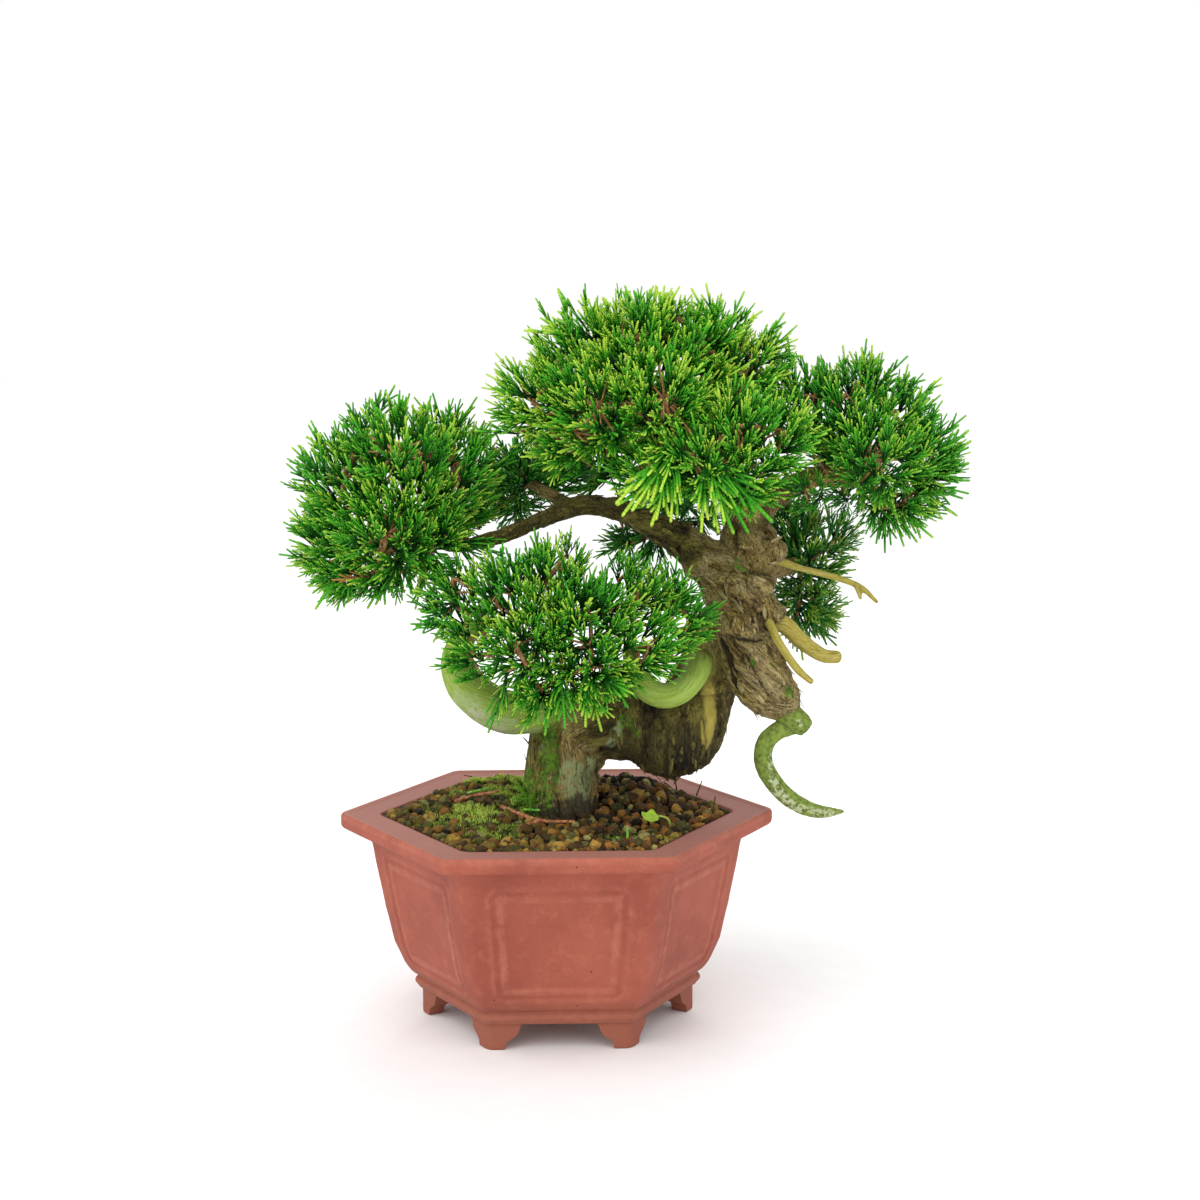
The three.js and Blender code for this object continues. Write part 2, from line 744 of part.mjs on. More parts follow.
// The bare wood of a pad: a socket round each carrying limb's end, a core in each cluster, and the twigs
// that join every cluster to the nearest one already joined.
function padFrame(name) {
  const clusters = pads[name].map(([x, y, z, radius]) => ({ centre: new THREE.Vector3(x, y, z), radius }));
  const sockets = padCarriers[name].map((limb) => {
    const [x, y, z] = limbs[limb].at(-1);
    return { centre: new THREE.Vector3(x, y, z) };
  });
  const reached = [sockets[0]];
  const waiting = [...sockets.slice(1), ...clusters];
  const solids = [];
  while (waiting.length) {
    let best = null;
    for (const from of reached) {
      for (const to of waiting) {
        const length = from.centre.distanceTo(to.centre);
        if (!best || length < best.length) best = { from: from.centre, to, length };
      }
    }
    waiting.splice(waiting.indexOf(best.to), 1);
    reached.push(best.to);
    solids.push(spindle(best.from, best.to.centre, twigRadius));
    obstacles.push({ line: new THREE.Line3(best.from, best.to.centre), radius: twigRadius, owner: name });
  }
  const addCore = (core, centre, radius) => {
    solids.push(solidOf(core));
    obstacles.push({ line: new THREE.Line3(centre, centre), radius, owner: name });
  };
  for (const { centre } of sockets) {
    const socket = new THREE.IcosahedronGeometry(socketRadius, 0);
    addCore(socket.translate(centre.x, centre.y, centre.z), centre, socketRadius);
  }
  for (const { centre, radius } of clusters) {
    addCore(coreGeometry(centre, radius * coreShare), centre, radius * coreShare);
  }
  return { solids, clusters };
}

// The middle of each face of a cluster's core, where a spray stands.
function sprayRoots(centre, radius) {
  const corners = coreGeometry(centre, radius * coreShare).getAttribute("position");
  const roots = [];
  for (let i = 0; i < corners.count; i += 3) {
    const root = new THREE.Vector3();
    [i, i + 1, i + 2].forEach((k) => root.add(new THREE.Vector3().fromBufferAttribute(corners, k)));
    roots.push(root.divideScalar(3));
  }
  return roots;
}

function padSprays(name, clusters, random) {
  const solids = [];
  for (const { centre, radius } of clusters) {
    const others = clusters.filter((c) => c.centre !== centre);
    for (const root of sprayRoots(centre, radius)) {
      const jitter = new THREE.Vector3(random() - 0.5, random() - 0.5, random() - 0.5).multiplyScalar(0.4);
      const reach = radius * (0.95 + 0.14 * random());
      const turn = random() * 2 * Math.PI;
      const out = new THREE.Vector3().subVectors(root, centre).normalize().add(jitter).normalize();
      const end = centre.clone().addScaledVector(out, reach);
      if (others.some((c) => c.centre.distanceTo(end) < c.radius * hiddenShare)) continue;
      if (others.some((c) => c.centre.distanceTo(root) < c.radius * coreFaceShare)) continue;
      const axis = new THREE.Vector3().subVectors(end, root);
      const length = axis.length() / (spray.waistAt + (1 - spray.waistAt) * Math.cos(spray.spread));
      const points = sprayPoints(root, axis.normalize(), length, turn, random);
      if (!isClear(root, points.crotch, spray.waist, name)) continue;
      const tipIsClear = (tip) => isClear(points.crotch, tip, tipRadius, name);
      points.tips.forEach((tip) => {
        while (!tipIsClear(tip) && tip.distanceTo(points.crotch) > shortestTip) {
          tip.lerp(points.crotch, 0.2);
        }
      });
      if (!points.tips.every(tipIsClear)) continue;
      solids.push(spraySolid(points));
      const addPiece = (to, thickness, from) =>
        obstacles.push({ line: new THREE.Line3(from, to), radius: thickness, owner: name, isSpray: true });
      addPiece(points.crotch, spray.waist, root);
      points.tips.forEach((tip) => addPiece(tip, tipRadius, points.crotch));
    }
  }
  return solids;
}

// A twig that has fallen on the soil: [x, y] along it, and the end of its side shoot.
const fallenTwigs = {
  fallen_twig_front: { along: [[-28, -5], [-8, -27], [8, -29]], sideEnd: [-18, -34] },
  fallen_twig_left: { along: [[-52, 14], [-42, 20], [-30, 24]], sideEnd: [-36, 28] },
};
const fallenTwigRadius = 1.1;
const fallenTwigLift = 0.8;

function fallenTwig({ along, sideEnd }, grow = 0) {
  const station = ([x, y]) => [x, y, soilHeight(x, y) + fallenTwigLift, fallenTwigRadius];
  const main = limbSolid(along.map(station), { steps: 4, sides: 5 }, grow);
  return main.add(limbSolid([along[1], sideEnd].map(station), { steps: 2, sides: 5 }, grow));
}

// A small weed: a lobed leaf on a stem whose foot stands in the soil.
const weedFoot = [56, -26];
const weedHead = [46, -30];
const weedLeafHeight = 6.5;
const weedStemRadius = 0.7;
const leafThickness = 0.7;

function weedSolid(grow = 0) {
  const ground = soilHeight(...weedFoot);
  const [footX, footY] = weedFoot;
  const [headX, headY] = weedHead;
  const stations = [
    [footX, footY, ground - 3],
    [footX - 1, footY, ground + 4],
    [footX - 5, footY - 2, ground + weedLeafHeight],
    [headX + 2, headY, ground + weedLeafHeight + 0.3],
  ];
  const stem = limbSolid(stations.map((at) => [...at, weedStemRadius]), { steps: 7, sides: 5 }, grow);
  if (grow) return stem;
  const outline = new THREE.Shape();
  outline.moveTo(3.6, 0);
  outline.bezierCurveTo(4.5, 3.5, 1.5, 5.5, -0.6, 4.2);
  outline.bezierCurveTo(-2, 5.2, -5, 3.6, -4.6, 0.6);
  outline.bezierCurveTo(-6, -1.5, -3.6, -4.8, -0.8, -4.2);
  outline.bezierCurveTo(1.5, -5.6, 4.5, -3.4, 3.6, 0);
  const blade = new THREE.ExtrudeGeometry(outline, {
    depth: leafThickness,
    bevelEnabled: false,
    curveSegments: 4,
  });
  blade.rotateX(0.35).rotateZ(0.2);
  blade.translate(headX, headY, ground + weedLeafHeight);
  return stem.add(solidOf(blade));
}

const wood = woodSolid();
const fatWood = woodSolid(woodGap);
const laid = [...Object.values(fallenTwigs).map((twig) => fallenTwig(twig, gap)), weedSolid(gap)];

const bonsai = new THREE.Group();
bonsai.add(meshOf(makePot(), "pot", clay));
bonsai.add(meshOf(makeScreen(), "drain_screen", screenBlack));
bonsai.add(meshOf(makeSoil(fatWood, laid), "soil", grit));
bonsai.add(meshOf(wood, "trunk", bark));
for (const [name, twig] of Object.entries(fallenTwigs)) {
  bonsai.add(meshOf(fallenTwig(twig), name, twigBrown));
}
bonsai.add(meshOf(weedSolid(), "weed", weedGreen));

const random = randomFrom(seed);
const frames = Object.fromEntries(Object.keys(pads).map((name) => [name, padFrame(name)]));
for (const [name, frame] of Object.entries(frames)) {
  const sprays = padSprays(name, frame.clusters, random);
  const pad = joined([...frame.solids, ...sprays]).subtract(fatWood);
  bonsai.add(meshOf(largestBody(pad), name, leaf));
}

// Put the origin under the middle of the whole, on the surface.
const box = new THREE.Box3().setFromObject(bonsai);
const middle = box.getCenter(new THREE.Vector3());
bonsai.position.set(-middle.x, -middle.y, -box.min.z);

export default bonsai;
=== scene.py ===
import json
import math
import bmesh
import bpy
import numpy as np
from mathutils import Matrix, Vector

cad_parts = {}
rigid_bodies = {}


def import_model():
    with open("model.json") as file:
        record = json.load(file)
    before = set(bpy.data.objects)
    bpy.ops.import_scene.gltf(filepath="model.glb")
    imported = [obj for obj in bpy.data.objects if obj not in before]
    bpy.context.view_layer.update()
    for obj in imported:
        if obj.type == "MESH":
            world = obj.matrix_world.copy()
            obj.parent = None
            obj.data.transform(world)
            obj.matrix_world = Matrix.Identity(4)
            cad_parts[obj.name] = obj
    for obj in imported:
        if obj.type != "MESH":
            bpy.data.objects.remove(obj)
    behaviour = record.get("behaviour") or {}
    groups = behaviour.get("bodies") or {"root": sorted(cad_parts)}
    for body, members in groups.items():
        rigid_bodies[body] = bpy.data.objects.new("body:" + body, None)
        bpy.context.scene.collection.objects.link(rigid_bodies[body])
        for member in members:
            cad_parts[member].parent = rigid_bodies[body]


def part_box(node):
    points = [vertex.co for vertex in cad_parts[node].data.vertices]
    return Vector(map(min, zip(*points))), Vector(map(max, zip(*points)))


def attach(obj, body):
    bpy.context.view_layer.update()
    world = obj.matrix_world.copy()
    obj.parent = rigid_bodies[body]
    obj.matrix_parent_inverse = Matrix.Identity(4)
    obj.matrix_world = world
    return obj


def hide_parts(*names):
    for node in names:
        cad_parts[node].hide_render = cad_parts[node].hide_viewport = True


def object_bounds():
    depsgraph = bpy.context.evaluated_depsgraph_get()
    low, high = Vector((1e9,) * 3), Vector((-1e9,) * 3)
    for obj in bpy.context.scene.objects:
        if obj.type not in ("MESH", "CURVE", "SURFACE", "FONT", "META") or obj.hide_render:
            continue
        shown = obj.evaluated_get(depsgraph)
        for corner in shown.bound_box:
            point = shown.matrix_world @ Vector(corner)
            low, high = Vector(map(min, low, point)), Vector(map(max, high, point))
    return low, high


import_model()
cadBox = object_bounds()
mm = 0.001

# Lengths below are in millimetres from the pot's axis, with z = 0 under its feet, as in the part's source.
potLow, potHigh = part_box("pot")
potAxis = np.array([(potLow.x + potHigh.x) / 2, (potLow.y + potHigh.y) / 2, 0.0])


def inFrame(points):  # millimetres round the pot's axis to metres in the frame
    return np.asarray(points, float) * mm + potAxis


# Camera and light come first
shooting = {
    "place": (-12.9, -1135.5, 381.1),
    "target": (22.0, -0.7, 212.2),
    "roll": -0.14,  # degrees
    "lens": 69.0,
    "sensor": 36.0,
    "clip": (0.05, 60),  # metres
    "keyPower": 1.5, "keySpread": 75.0, "keyPlace": (-820, -950, 1500),
    "fillSize": 1.4, "fillPower": 2.8, "fillPlace": (980, -900, 600),
    "backSize": 1.2, "backPower": 6.0, "backPlace": (250, 1000, 1100),
    "lightTarget": (0, 0, 170),
    "sky": 0.82, "backdrop": 1.0,
    "floorSide": 12000.0, "paper": ("f4f4f4", "fafafa"),
}


def aimAt(thing, place, target, roll=0.0):
    start, end = Vector(inFrame(place)), Vector(inFrame(target))
    turn = (end - start).to_track_quat("-Z", "Y").to_matrix() @ Matrix.Rotation(math.radians(roll), 3, "Z")
    thing.matrix_world = Matrix.Translation(start) @ turn.to_4x4()


def makeCamera():
    data = bpy.data.cameras.new("camera")
    data.lens, data.sensor_width = shooting["lens"], shooting["sensor"]
    data.clip_start, data.clip_end = shooting["clip"]
    camera = bpy.data.objects.new("camera", data)
    bpy.context.collection.objects.link(camera)
    aimAt(camera, shooting["place"], shooting["target"], shooting["roll"])
    bpy.context.scene.camera = camera


def makeLight(name, kind):
    data = bpy.data.lights.new(name + "Light", kind)
    data.energy = shooting[name + "Power"]
    if kind == "SUN":
        data.angle = math.radians(shooting[name + "Spread"])
    else:
        data.shape, data.size = "DISK", shooting[name + "Size"]
    light = bpy.data.objects.new(name + "Light", data)
    bpy.context.collection.objects.link(light)
    aimAt(light, shooting[name + "Place"], shooting["lightTarget"])


def makeWorld():  # a white sky that the camera sees brighter than it shines
    world = bpy.data.worlds.new("studio")
    world.use_nodes = True
    nodes, links = world.node_tree.nodes, world.node_tree.links
    sky, seen, level = nodes["Background"], nodes.new("ShaderNodeLightPath"), nodes.new("ShaderNodeMapRange")
    level.inputs["To Min"].default_value = shooting["sky"]
    level.inputs["To Max"].default_value = shooting["backdrop"]
    links.new(seen.outputs["Is Camera Ray"], level.inputs["Value"])
    links.new(level.outputs[0], sky.inputs["Strength"])
    sky.inputs["Color"].default_value = (1, 1, 1, 1)
    bpy.context.scene.world = world


makeCamera()
for name, kind in (("key", "SUN"), ("fill", "AREA"), ("back", "AREA")):
    makeLight(name, kind)
makeWorld()
bpy.context.scene.view_settings.view_transform = "Standard"
print("camera and lights are set")


# Shader and geometry trees as plain expressions
class Wire:  # one output socket of a node
    def __init__(self, graph, socket):
        self.graph, self.socket = graph, socket

    def calc(self, operation, *values):
        return self.graph.add("ShaderNodeMath", {"operation": operation}, dict(enumerate(values)))

    def __add__(self, other):
        return self.calc("ADD", self, other)

    def __radd__(self, other):
        return self.calc("ADD", other, self)

    def __sub__(self, other):
        return self.calc("SUBTRACT", self, other)

    def __rsub__(self, other):
        return self.calc("SUBTRACT", other, self)

    def __mul__(self, other):
        return self.calc("MULTIPLY", self, other)

    def __rmul__(self, other):
        return self.calc("MULTIPLY", other, self)

    def between(self, low, high):  # 0 at low, 1 at high, with soft ends
        values = {"Value": self, "From Min": low, "From Max": high}
        return self.graph.add("ShaderNodeMapRange", {"interpolation_type": "SMOOTHSTEP"}, values)


class Graph:
    def __init__(self, tree):
        self.tree = tree

    def add(self, kind, settings=None, values=None, out=0):
        node = self.tree.nodes.new(kind)
        for name, value in (settings or {}).items():
            if name == "stops":
                while len(node.color_ramp.elements) < len(value):
                    node.color_ramp.elements.new(0.5)
                for element, (position, colour) in zip(node.color_ramp.elements, value):
                    element.position, element.color = position, colour
            else:
                setattr(node, name, value)
        for name, value in (values or {}).items():
            self.feed(node.inputs[name], value)
        return Wire(self, node.outputs[out])

    def feed(self, socket, value):
        if isinstance(value, Wire):
            self.tree.links.new(value.socket, socket)
        else:
            socket.default_value = value

    def coords(self):
        return self.add("ShaderNodeTexCoord", out=3)

    def mark(self, name, out=2):  # an attribute of the mesh: 2 as a number, 1 as a vector
        return self.add("ShaderNodeAttribute", {"attribute_name": name}, out=out)

    def noise(self, vector, scale, detail=3.0, roughness=0.55, distortion=0.0):
        values = {"Vector": vector, "Scale": scale, "Detail": detail, "Roughness": roughness,
                  "Distortion": distortion}
        return self.add("ShaderNodeTexNoise", {}, values)

    def veins(self, vector, scale, width):  # 1 along the thin lines where a noise crosses its middle
        value = self.noise(vector, scale, 2.0, 0.55, 0.3) - 0.5
        return 1 - value.calc("ABSOLUTE", value).between(0.0, width)

    def mix(self, share, low, high):  # of two colours
        return self.add("ShaderNodeMix", {"data_type": "RGBA"}, {0: share, 6: low, 7: high}, 2)

    def ramp(self, value, *stops):
        return self.add("ShaderNodeValToRGB", {"stops": stops}, {"Fac": value})

    def bump(self, height, depth, strength):  # depth in metres
        values = {"Height": height, "Distance": depth, "Strength": strength}
        return self.add("ShaderNodeBump", {}, values)

    def coats(self, colour, *coats):  # each coat covers what is under it by its share
        for share, coat in coats:
            colour = self.mix(share, colour, coat)
        return colour

    def paint(self, colour, roughness=None, normal=None):  # what varies over a look's surface
        surface = self.tree.nodes["Principled BSDF"].inputs
        for name, value in (("Base Color", colour), ("Roughness", roughness), ("Normal", normal)):
            if value is not None:
                self.feed(surface[name], value)


def tint(code):  # a hex colour to the linear values that a shader takes
    parts = [int(code[i:i + 2], 16) / 255 for i in (0, 2, 4)]
    return (*[p / 12.92 if p <= 0.04045 else ((p + 0.055) / 1.055) ** 2.4 for p in parts], 1.0)


def tints(thing):  # all the colours of one dictionary
    return {name: tint(code) for name, code in thing["colours"].items()}


def newLook(name, **fixed):  # a material with its fixed values, and the graph that paints it
    look = bpy.data.materials.new(name)
    look.use_nodes = True
    surface = look.node_tree.nodes["Principled BSDF"].inputs
    for socket, value in fixed.items():
        surface[socket.replace("_", " ")].default_value = value
    return look, Graph(look.node_tree)


# Numbers that the meshes are made from
def latticeNoise(points, seed=0):  # smooth noise from -1 to 1, one feature to a unit
    cell = np.floor(points).astype(np.int64)
    part = points - cell
    fade = part * part * part * (part * (part * 6 - 15) + 10)
    total = np.zeros(len(points))
    for corner in range(8):
        step = np.array([corner & 1, corner >> 1 & 1, corner >> 2 & 1])
        key = (cell + step) @ np.array([73856093, 19349663, 83492791]) + seed * 7919
        key = (key ^ (key >> 13)) * 1274126177 & 0xFFFFFFFF
        key = (key ^ (key >> 15)) * 2246822519 & 0xFFFFFFFF
        value = (key >> 8 & 0xFFFF) / 32767.5 - 1
        total += value * np.prod(np.where(step, fade, 1 - fade), axis=1)
    return total


def cloudNoise(points, seed=0, octaves=3):
    total, size = np.zeros(len(points)), 1.0
    for octave in range(octaves):
        total += size * latticeNoise(points * 2 ** octave + 17.3 * octave, seed + octave)
        size *= 0.5
    return total


def smoothStep(value, low, high):  # 0 up to low, 1 from high on
    share = np.clip((value - low) / (high - low), 0, 1)
    return share * share * (3 - 2 * share)


def fading(value, low, high):  # 1 up to low, 0 from high on
    return smoothStep(-value, -high, -low)


def unit(rows):
    return rows / np.linalg.norm(rows, axis=-1, keepdims=True)


def heading(angle):  # level direction
    return np.array([math.cos(angle), math.sin(angle), 0])


def headings(angles):
    return np.stack([np.cos(angles), np.sin(angles), 0 * angles], 1)


def turnsOf(count):  # angles spread evenly round a circle
    return np.arange(count) / count * 2 * math.pi


def runAlong(line):  # how far along the line each of its points lies
    return np.concatenate([[0], np.cumsum(np.linalg.norm(np.diff(line, axis=0), axis=1))])


def closest(points, spot):  # the index of the point that is closest to the spot
    return np.argmin(np.linalg.norm(points - spot, axis=1))


def cubic(t, start, lean, end, leanNext):  # a place between two points of a smooth curve, t from 0 to 1
    row = (2 * t ** 3 - 3 * t ** 2 + 1) * start + (t ** 3 - 2 * t ** 2 + t) * lean
    return row + (3 * t ** 2 - 2 * t ** 3) * end + (t ** 3 - t ** 2) * leanNext


def setMarks(mesh, marks):  # a value or a vector for each point, which the looks read
    for mark, values in marks.items():
        values = np.asarray(values, np.float32)
        kind, key = ("FLOAT_VECTOR", "vector") if values.ndim == 2 else ("FLOAT", "value")
        mesh.attributes.new(mark, kind, "POINT").data.foreach_set(key, values.ravel())


def makePiece(name, points, faces, looks, marks=None, smooth=True):
    mesh = bpy.data.meshes.new(name)
    mesh.from_pydata(inFrame(points).tolist(), [], faces)
    setMarks(mesh, marks or {})
    for look in looks:
        mesh.materials.append(look)
    if smooth:
        mesh.shade_smooth()
    mesh.update()
    piece = bpy.data.objects.new(name, mesh)
    bpy.context.collection.objects.link(piece)
    return piece


def settled(piece, name):  # the piece with its modifiers worked in, as a plain mesh
    graph = bpy.context.evaluated_depsgraph_get()
    mesh = bpy.data.meshes.new_from_object(piece.evaluated_get(graph))
    mesh.name = name
    old = piece.data
    bpy.data.objects.remove(piece)
    bpy.data.meshes.remove(old)
    made = bpy.data.objects.new(name, mesh)
    bpy.context.collection.objects.link(made)
    return made


def place(piece, slot, *nodes):
    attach(piece, "root")
    if nodes:
        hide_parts(*nodes)
    triangles = sum(len(face.vertices) - 2 for face in piece.data.polygons)
    print(piece.name, triangles, "triangles")


def lofted(rings, closed=False):  # faces over rows of rings of one size; the ends are capped or joined up
    rows, around = len(rings), len(rings[0])
    points = np.concatenate(rings)
    faces = []
    for i in range(rows if closed else rows - 1):
        low, high = i * around, (i + 1) % rows * around
        for j in range(around):
            k = (j + 1) % around
            faces.append((low + j, low + k, high + k, high + j))
    if not closed:
        faces.append(tuple(range(around))[::-1])
        faces.append(tuple((rows - 1) * around + j for j in range(around)))
    return points, faces


def gathered(parts):  # several meshes as one list of points and faces
    points, faces, start = [], [], 0
    for partPoints, partFaces in parts:
        points.append(np.asarray(partPoints))
        faces += [tuple(start + v for v in face) for face in partFaces]
        start += len(partPoints)
    return np.concatenate(points), faces


def outwardFaces(piece):
    shape = bmesh.new()
    shape.from_mesh(piece.data)
    bmesh.ops.recalc_face_normals(shape, faces=shape.faces)
    shape.to_mesh(piece.data)
    shape.free()


# The floor
def makeFloor():
    look, graph = newLook("paperFloor", Roughness=0.9)
    grain = graph.noise(graph.coords(), 60.0, 2.0)
    darker, lighter = [tint(code) for code in shooting["paper"]]
    graph.paint(graph.mix(grain, darker, lighter))
    side = shooting["floorSide"] / 2
    corners = [(-side, -side, 0), (side, -side, 0), (side, side, 0), (-side, side, 0)]
    floor = makePiece("floor", corners, [(0, 1, 2, 3)], [look], smooth=False)


makeFloor()


# The pot
pot = {
    "rows": [  # height, radius to the corner, corner rounding
        (13.5, 71.2, 4), (16.4, 73.6, 4), (18.4, 73.2, 4), (19.8, 72.2, 4), (22, 75.4, 5), (27.5, 79.4, 6),
        (38, 84.2, 7), (56, 88.6, 8), (86, 94.2, 8), (93, 96.6, 8), (95.6, 99.6, 6), (96.8, 108.4, 5),
        (98, 109.7, 5), (100, 110, 5), (103, 110, 5), (104.2, 109.5, 5), (104.7, 108.7, 5),
        (104.6, 107.2, 5), (103.9, 105.8, 5), (103.8, 104.6, 5), (103.7, 98, 6), (103.8, 91.6, 7),
        (103.5, 90.4, 7), (102.6, 89.9, 7), (90, 86.4, 7), (62, 82, 7), (38, 75.4, 7), (28, 70, 7),
        (22.4, 64, 7), (21.5, 62, 7)],
    # rings from each row to the next; beside the panels their heights are given, dense at the borders
    "steps": [3, 3, 3, 3, 6, 0, 0, 0, 5, 4, 3, 2, 2, 3, 2, 2, 2, 2, 1, 3, 3, 2, 2, 3, 3, 3, 2, 2, 1],
    "panelRings": {5: np.arange(27.5, 37.9, 0.74), 6: np.linspace(38, 56, 7)[:-1],
                   7: np.concatenate([np.linspace(56, 75, 7), np.arange(76.4, 85.9, 0.74)])},
    "rimRows": range(10, 22),  # the rows whose turns stay crisp
    "panelLow": 27.9, "panelHigh": 84.8, "halfLow": 29.4, "halfHigh": 32.8,
    "panelDepth": 0.95, "bandDepth": 0.28, "outlineLip": 0.18, "panelRounding": 4.0,
    "panelReach": 4,  # how far above and below a panel its relief is worked out
    "borderOut": 1.6, "borderIn": 7.2,  # how far a panel's border reaches out of its outline and into it
    "columns": (4, 13, 7),  # of a face's points: beside a border, on it, between the two
    "drain": 9.0, "floor": 21.5, "underside": 13.5, "mouldingTop": 20.0, "rimTop": 104.5, "rimInside": 102.0,
    "rimWear": 0.8, "mouldingWear": 0.5, "cornerWear": 0.15,
    "unevenness": 0.16, "sharpEdge": 48,
    "cornerSteps": 6,
    "footRadius": 69.8, "footThickness": 8.5, "footTop": 15.0,
    "footEdge": [(0, 7.6), (0.8, 8.5), (3, 8.8), (4.8, 10.0), (5.8, 12.2), (7.0, 13.8), (9.4, 15.0),
                 (11.6, 15.8), (15, 18.0)],
    # the rim colour paints the top of the rim paler and greyer, a painted reflection of the sky
    "colours": {"body": "aa5844", "deep": "984b3a", "pale": "bb7059", "rim": "a16c61", "foot": "925540",
                "pit": "33150f", "speck": "c99a84"},
}


def potRows():  # the smooth profile, ring by ring
    rows = np.array(pot["rows"], float)
    out = []
    for i, count in enumerate(pot["steps"]):
        before, after = rows[max(i - 1, 0)], rows[min(i + 2, len(rows) - 1)]
        here, there = rows[i], rows[i + 1]
        lean, leanNext = (there - before) * 0.5, (after - here) * 0.5
        heights = pot["panelRings"].get(i)
        shares = np.arange(count) / count if heights is None else (heights - here[0]) / (there[0] - here[0])
        for t in shares:
            crisp = i in pot["rimRows"]
            row = here + (there - here) * t if crisp else cubic(t, here, lean, there, leanNext)
            if heights is not None:
                row[0] = here[0] + (there[0] - here[0]) * t
            out.append(row)
    out.append(rows[-1])
    return np.array(out)


def panelHalf(z):
    share = (z - pot["panelLow"]) / (pot["panelHigh"] - pot["panelLow"])
    return pot["halfLow"] + share * (pot["halfHigh"] - pot["halfLow"])


def panelRelief(u, z):  # how far the moulding stands in from the wall, and how worn it is
    side = panelHalf(z) - abs(u)
    level = min(z - pot["panelLow"], pot["panelHigh"] - z)
    r = pot["panelRounding"]
    inside = min(side, level)
    if side < r and level < r:
        inside = r - math.hypot(r - side, r - level)
    # distance inside the outline, depth, wear
    knots = [(-2.6, 0, 0), (-1.5, -pot["outlineLip"], 0.6), (-0.7, -0.1, 0.3), (0.3, 0.75, 0),
             (1.1, pot["panelDepth"], 0), (2.0, 0.6, 0.3), (2.9, pot["bandDepth"], 1),
             (4.0, pot["bandDepth"] - 0.08, 0.8), (5.2, pot["bandDepth"] + 0.1, 1), (6.1, 0.85, 0.2),
             (6.9, pot["panelDepth"] + 0.1, 0), (9.0, pot["panelDepth"], 0)]
    xs, depths, wears = zip(*knots)
    return np.interp(inside, xs, depths), np.interp(inside, xs, wears)


def hexRow(z, radius, rounding, relief):
    # One ring of the wall: each face's columns crowd where the panel's border runs, then the corner's arc.
    reach = radius - rounding / math.cos(math.pi / 6)
    half = reach / 2
    border = min(panelHalf(z), half - 2.2)
    outside, inside = border + pot["borderOut"], border - pot["borderIn"]
    beside, on, between = pot["columns"]
    near = np.linspace(outside, inside, on)
    edge = np.linspace(half, outside, beside)[:-1]
    middle = np.linspace(inside, -inside, between)[1:-1]
    columns = np.concatenate([edge, near, middle, -near[::-1], -edge[::-1]])
    ring, wear = [], []
    for face in range(6):
        normalAngle = math.pi / 6 + face * math.pi / 3
        normal = heading(normalAngle)
        along = np.array([normal[1], -normal[0], 0])
        away = reach * math.cos(math.pi / 6) + rounding
        for u in columns:
            depth, worn = panelRelief(u, z) if relief else (0, 0)
            ring.append(normal * (away - depth) + along * u + np.array([0, 0, z]))
            wear.append(worn)
        cornerAngle = (face + 1) * math.pi / 3
        middlePoint = heading(cornerAngle) * reach
        for step in range(1, pot["cornerSteps"]):
            angle = cornerAngle - math.pi / 6 + step / pot["cornerSteps"] * math.pi / 3
            ring.append(middlePoint + heading(angle) * rounding + np.array([0, 0, z]))
            wear.append(pot["cornerWear"])
    return np.array(ring), np.array(wear)


def footEdgeAt(z):
    heights, reaches = zip(*pot["footEdge"])
    return np.interp(z, heights, reaches)


def footRings(corner):  # a bracket wrapped round one corner, ring by ring from its sole up
    rings = []
    levels = [(0, 0.7), (0.25, 0.3), (0.8, 0)] + [(z, 0) for z in np.linspace(1.8, pot["footTop"], 13)]
    cornerAway = heading(corner)[:2]
    for z, inset in levels:
        reach, outer = footEdgeAt(z) - inset, pot["footRadius"] - inset
        thickness = pot["footThickness"] - 2 * inset
        wings, backs = [], []
        for side in (-1, 1):  # along each face from the wing's edge to the corner
            angle = corner + side * math.pi / 6
            normal = heading(angle)[:2]
            along = np.array([-normal[1], normal[0]]) * side
            start = normal * outer * math.cos(math.pi / 6) - along * outer / 2
            wings.append([start + along * u for u in np.linspace(reach, 3.2, 5)])
            backs.append(wings[-1][0] - normal * thickness)
        a, b = wings[0][-1], wings[1][-1]
        arc = [(1 - t) ** 2 * a + 2 * t * (1 - t) * cornerAway * outer + t * t * b
               for t in (0.2, 0.4, 0.6, 0.8)]
        inner = cornerAway * (outer - thickness / math.cos(math.pi / 6))
        inside = [backs[1] + (inner - backs[1]) * t for t in (0, 0.33, 0.66, 1)]
        inside += [inner + (backs[0] - inner) * t for t in (0.33, 0.66, 1)]
        ring = wings[0] + arc + wings[1][::-1] + inside
        rings.append(np.array([[x, y, z] for x, y in ring]))
    return rings


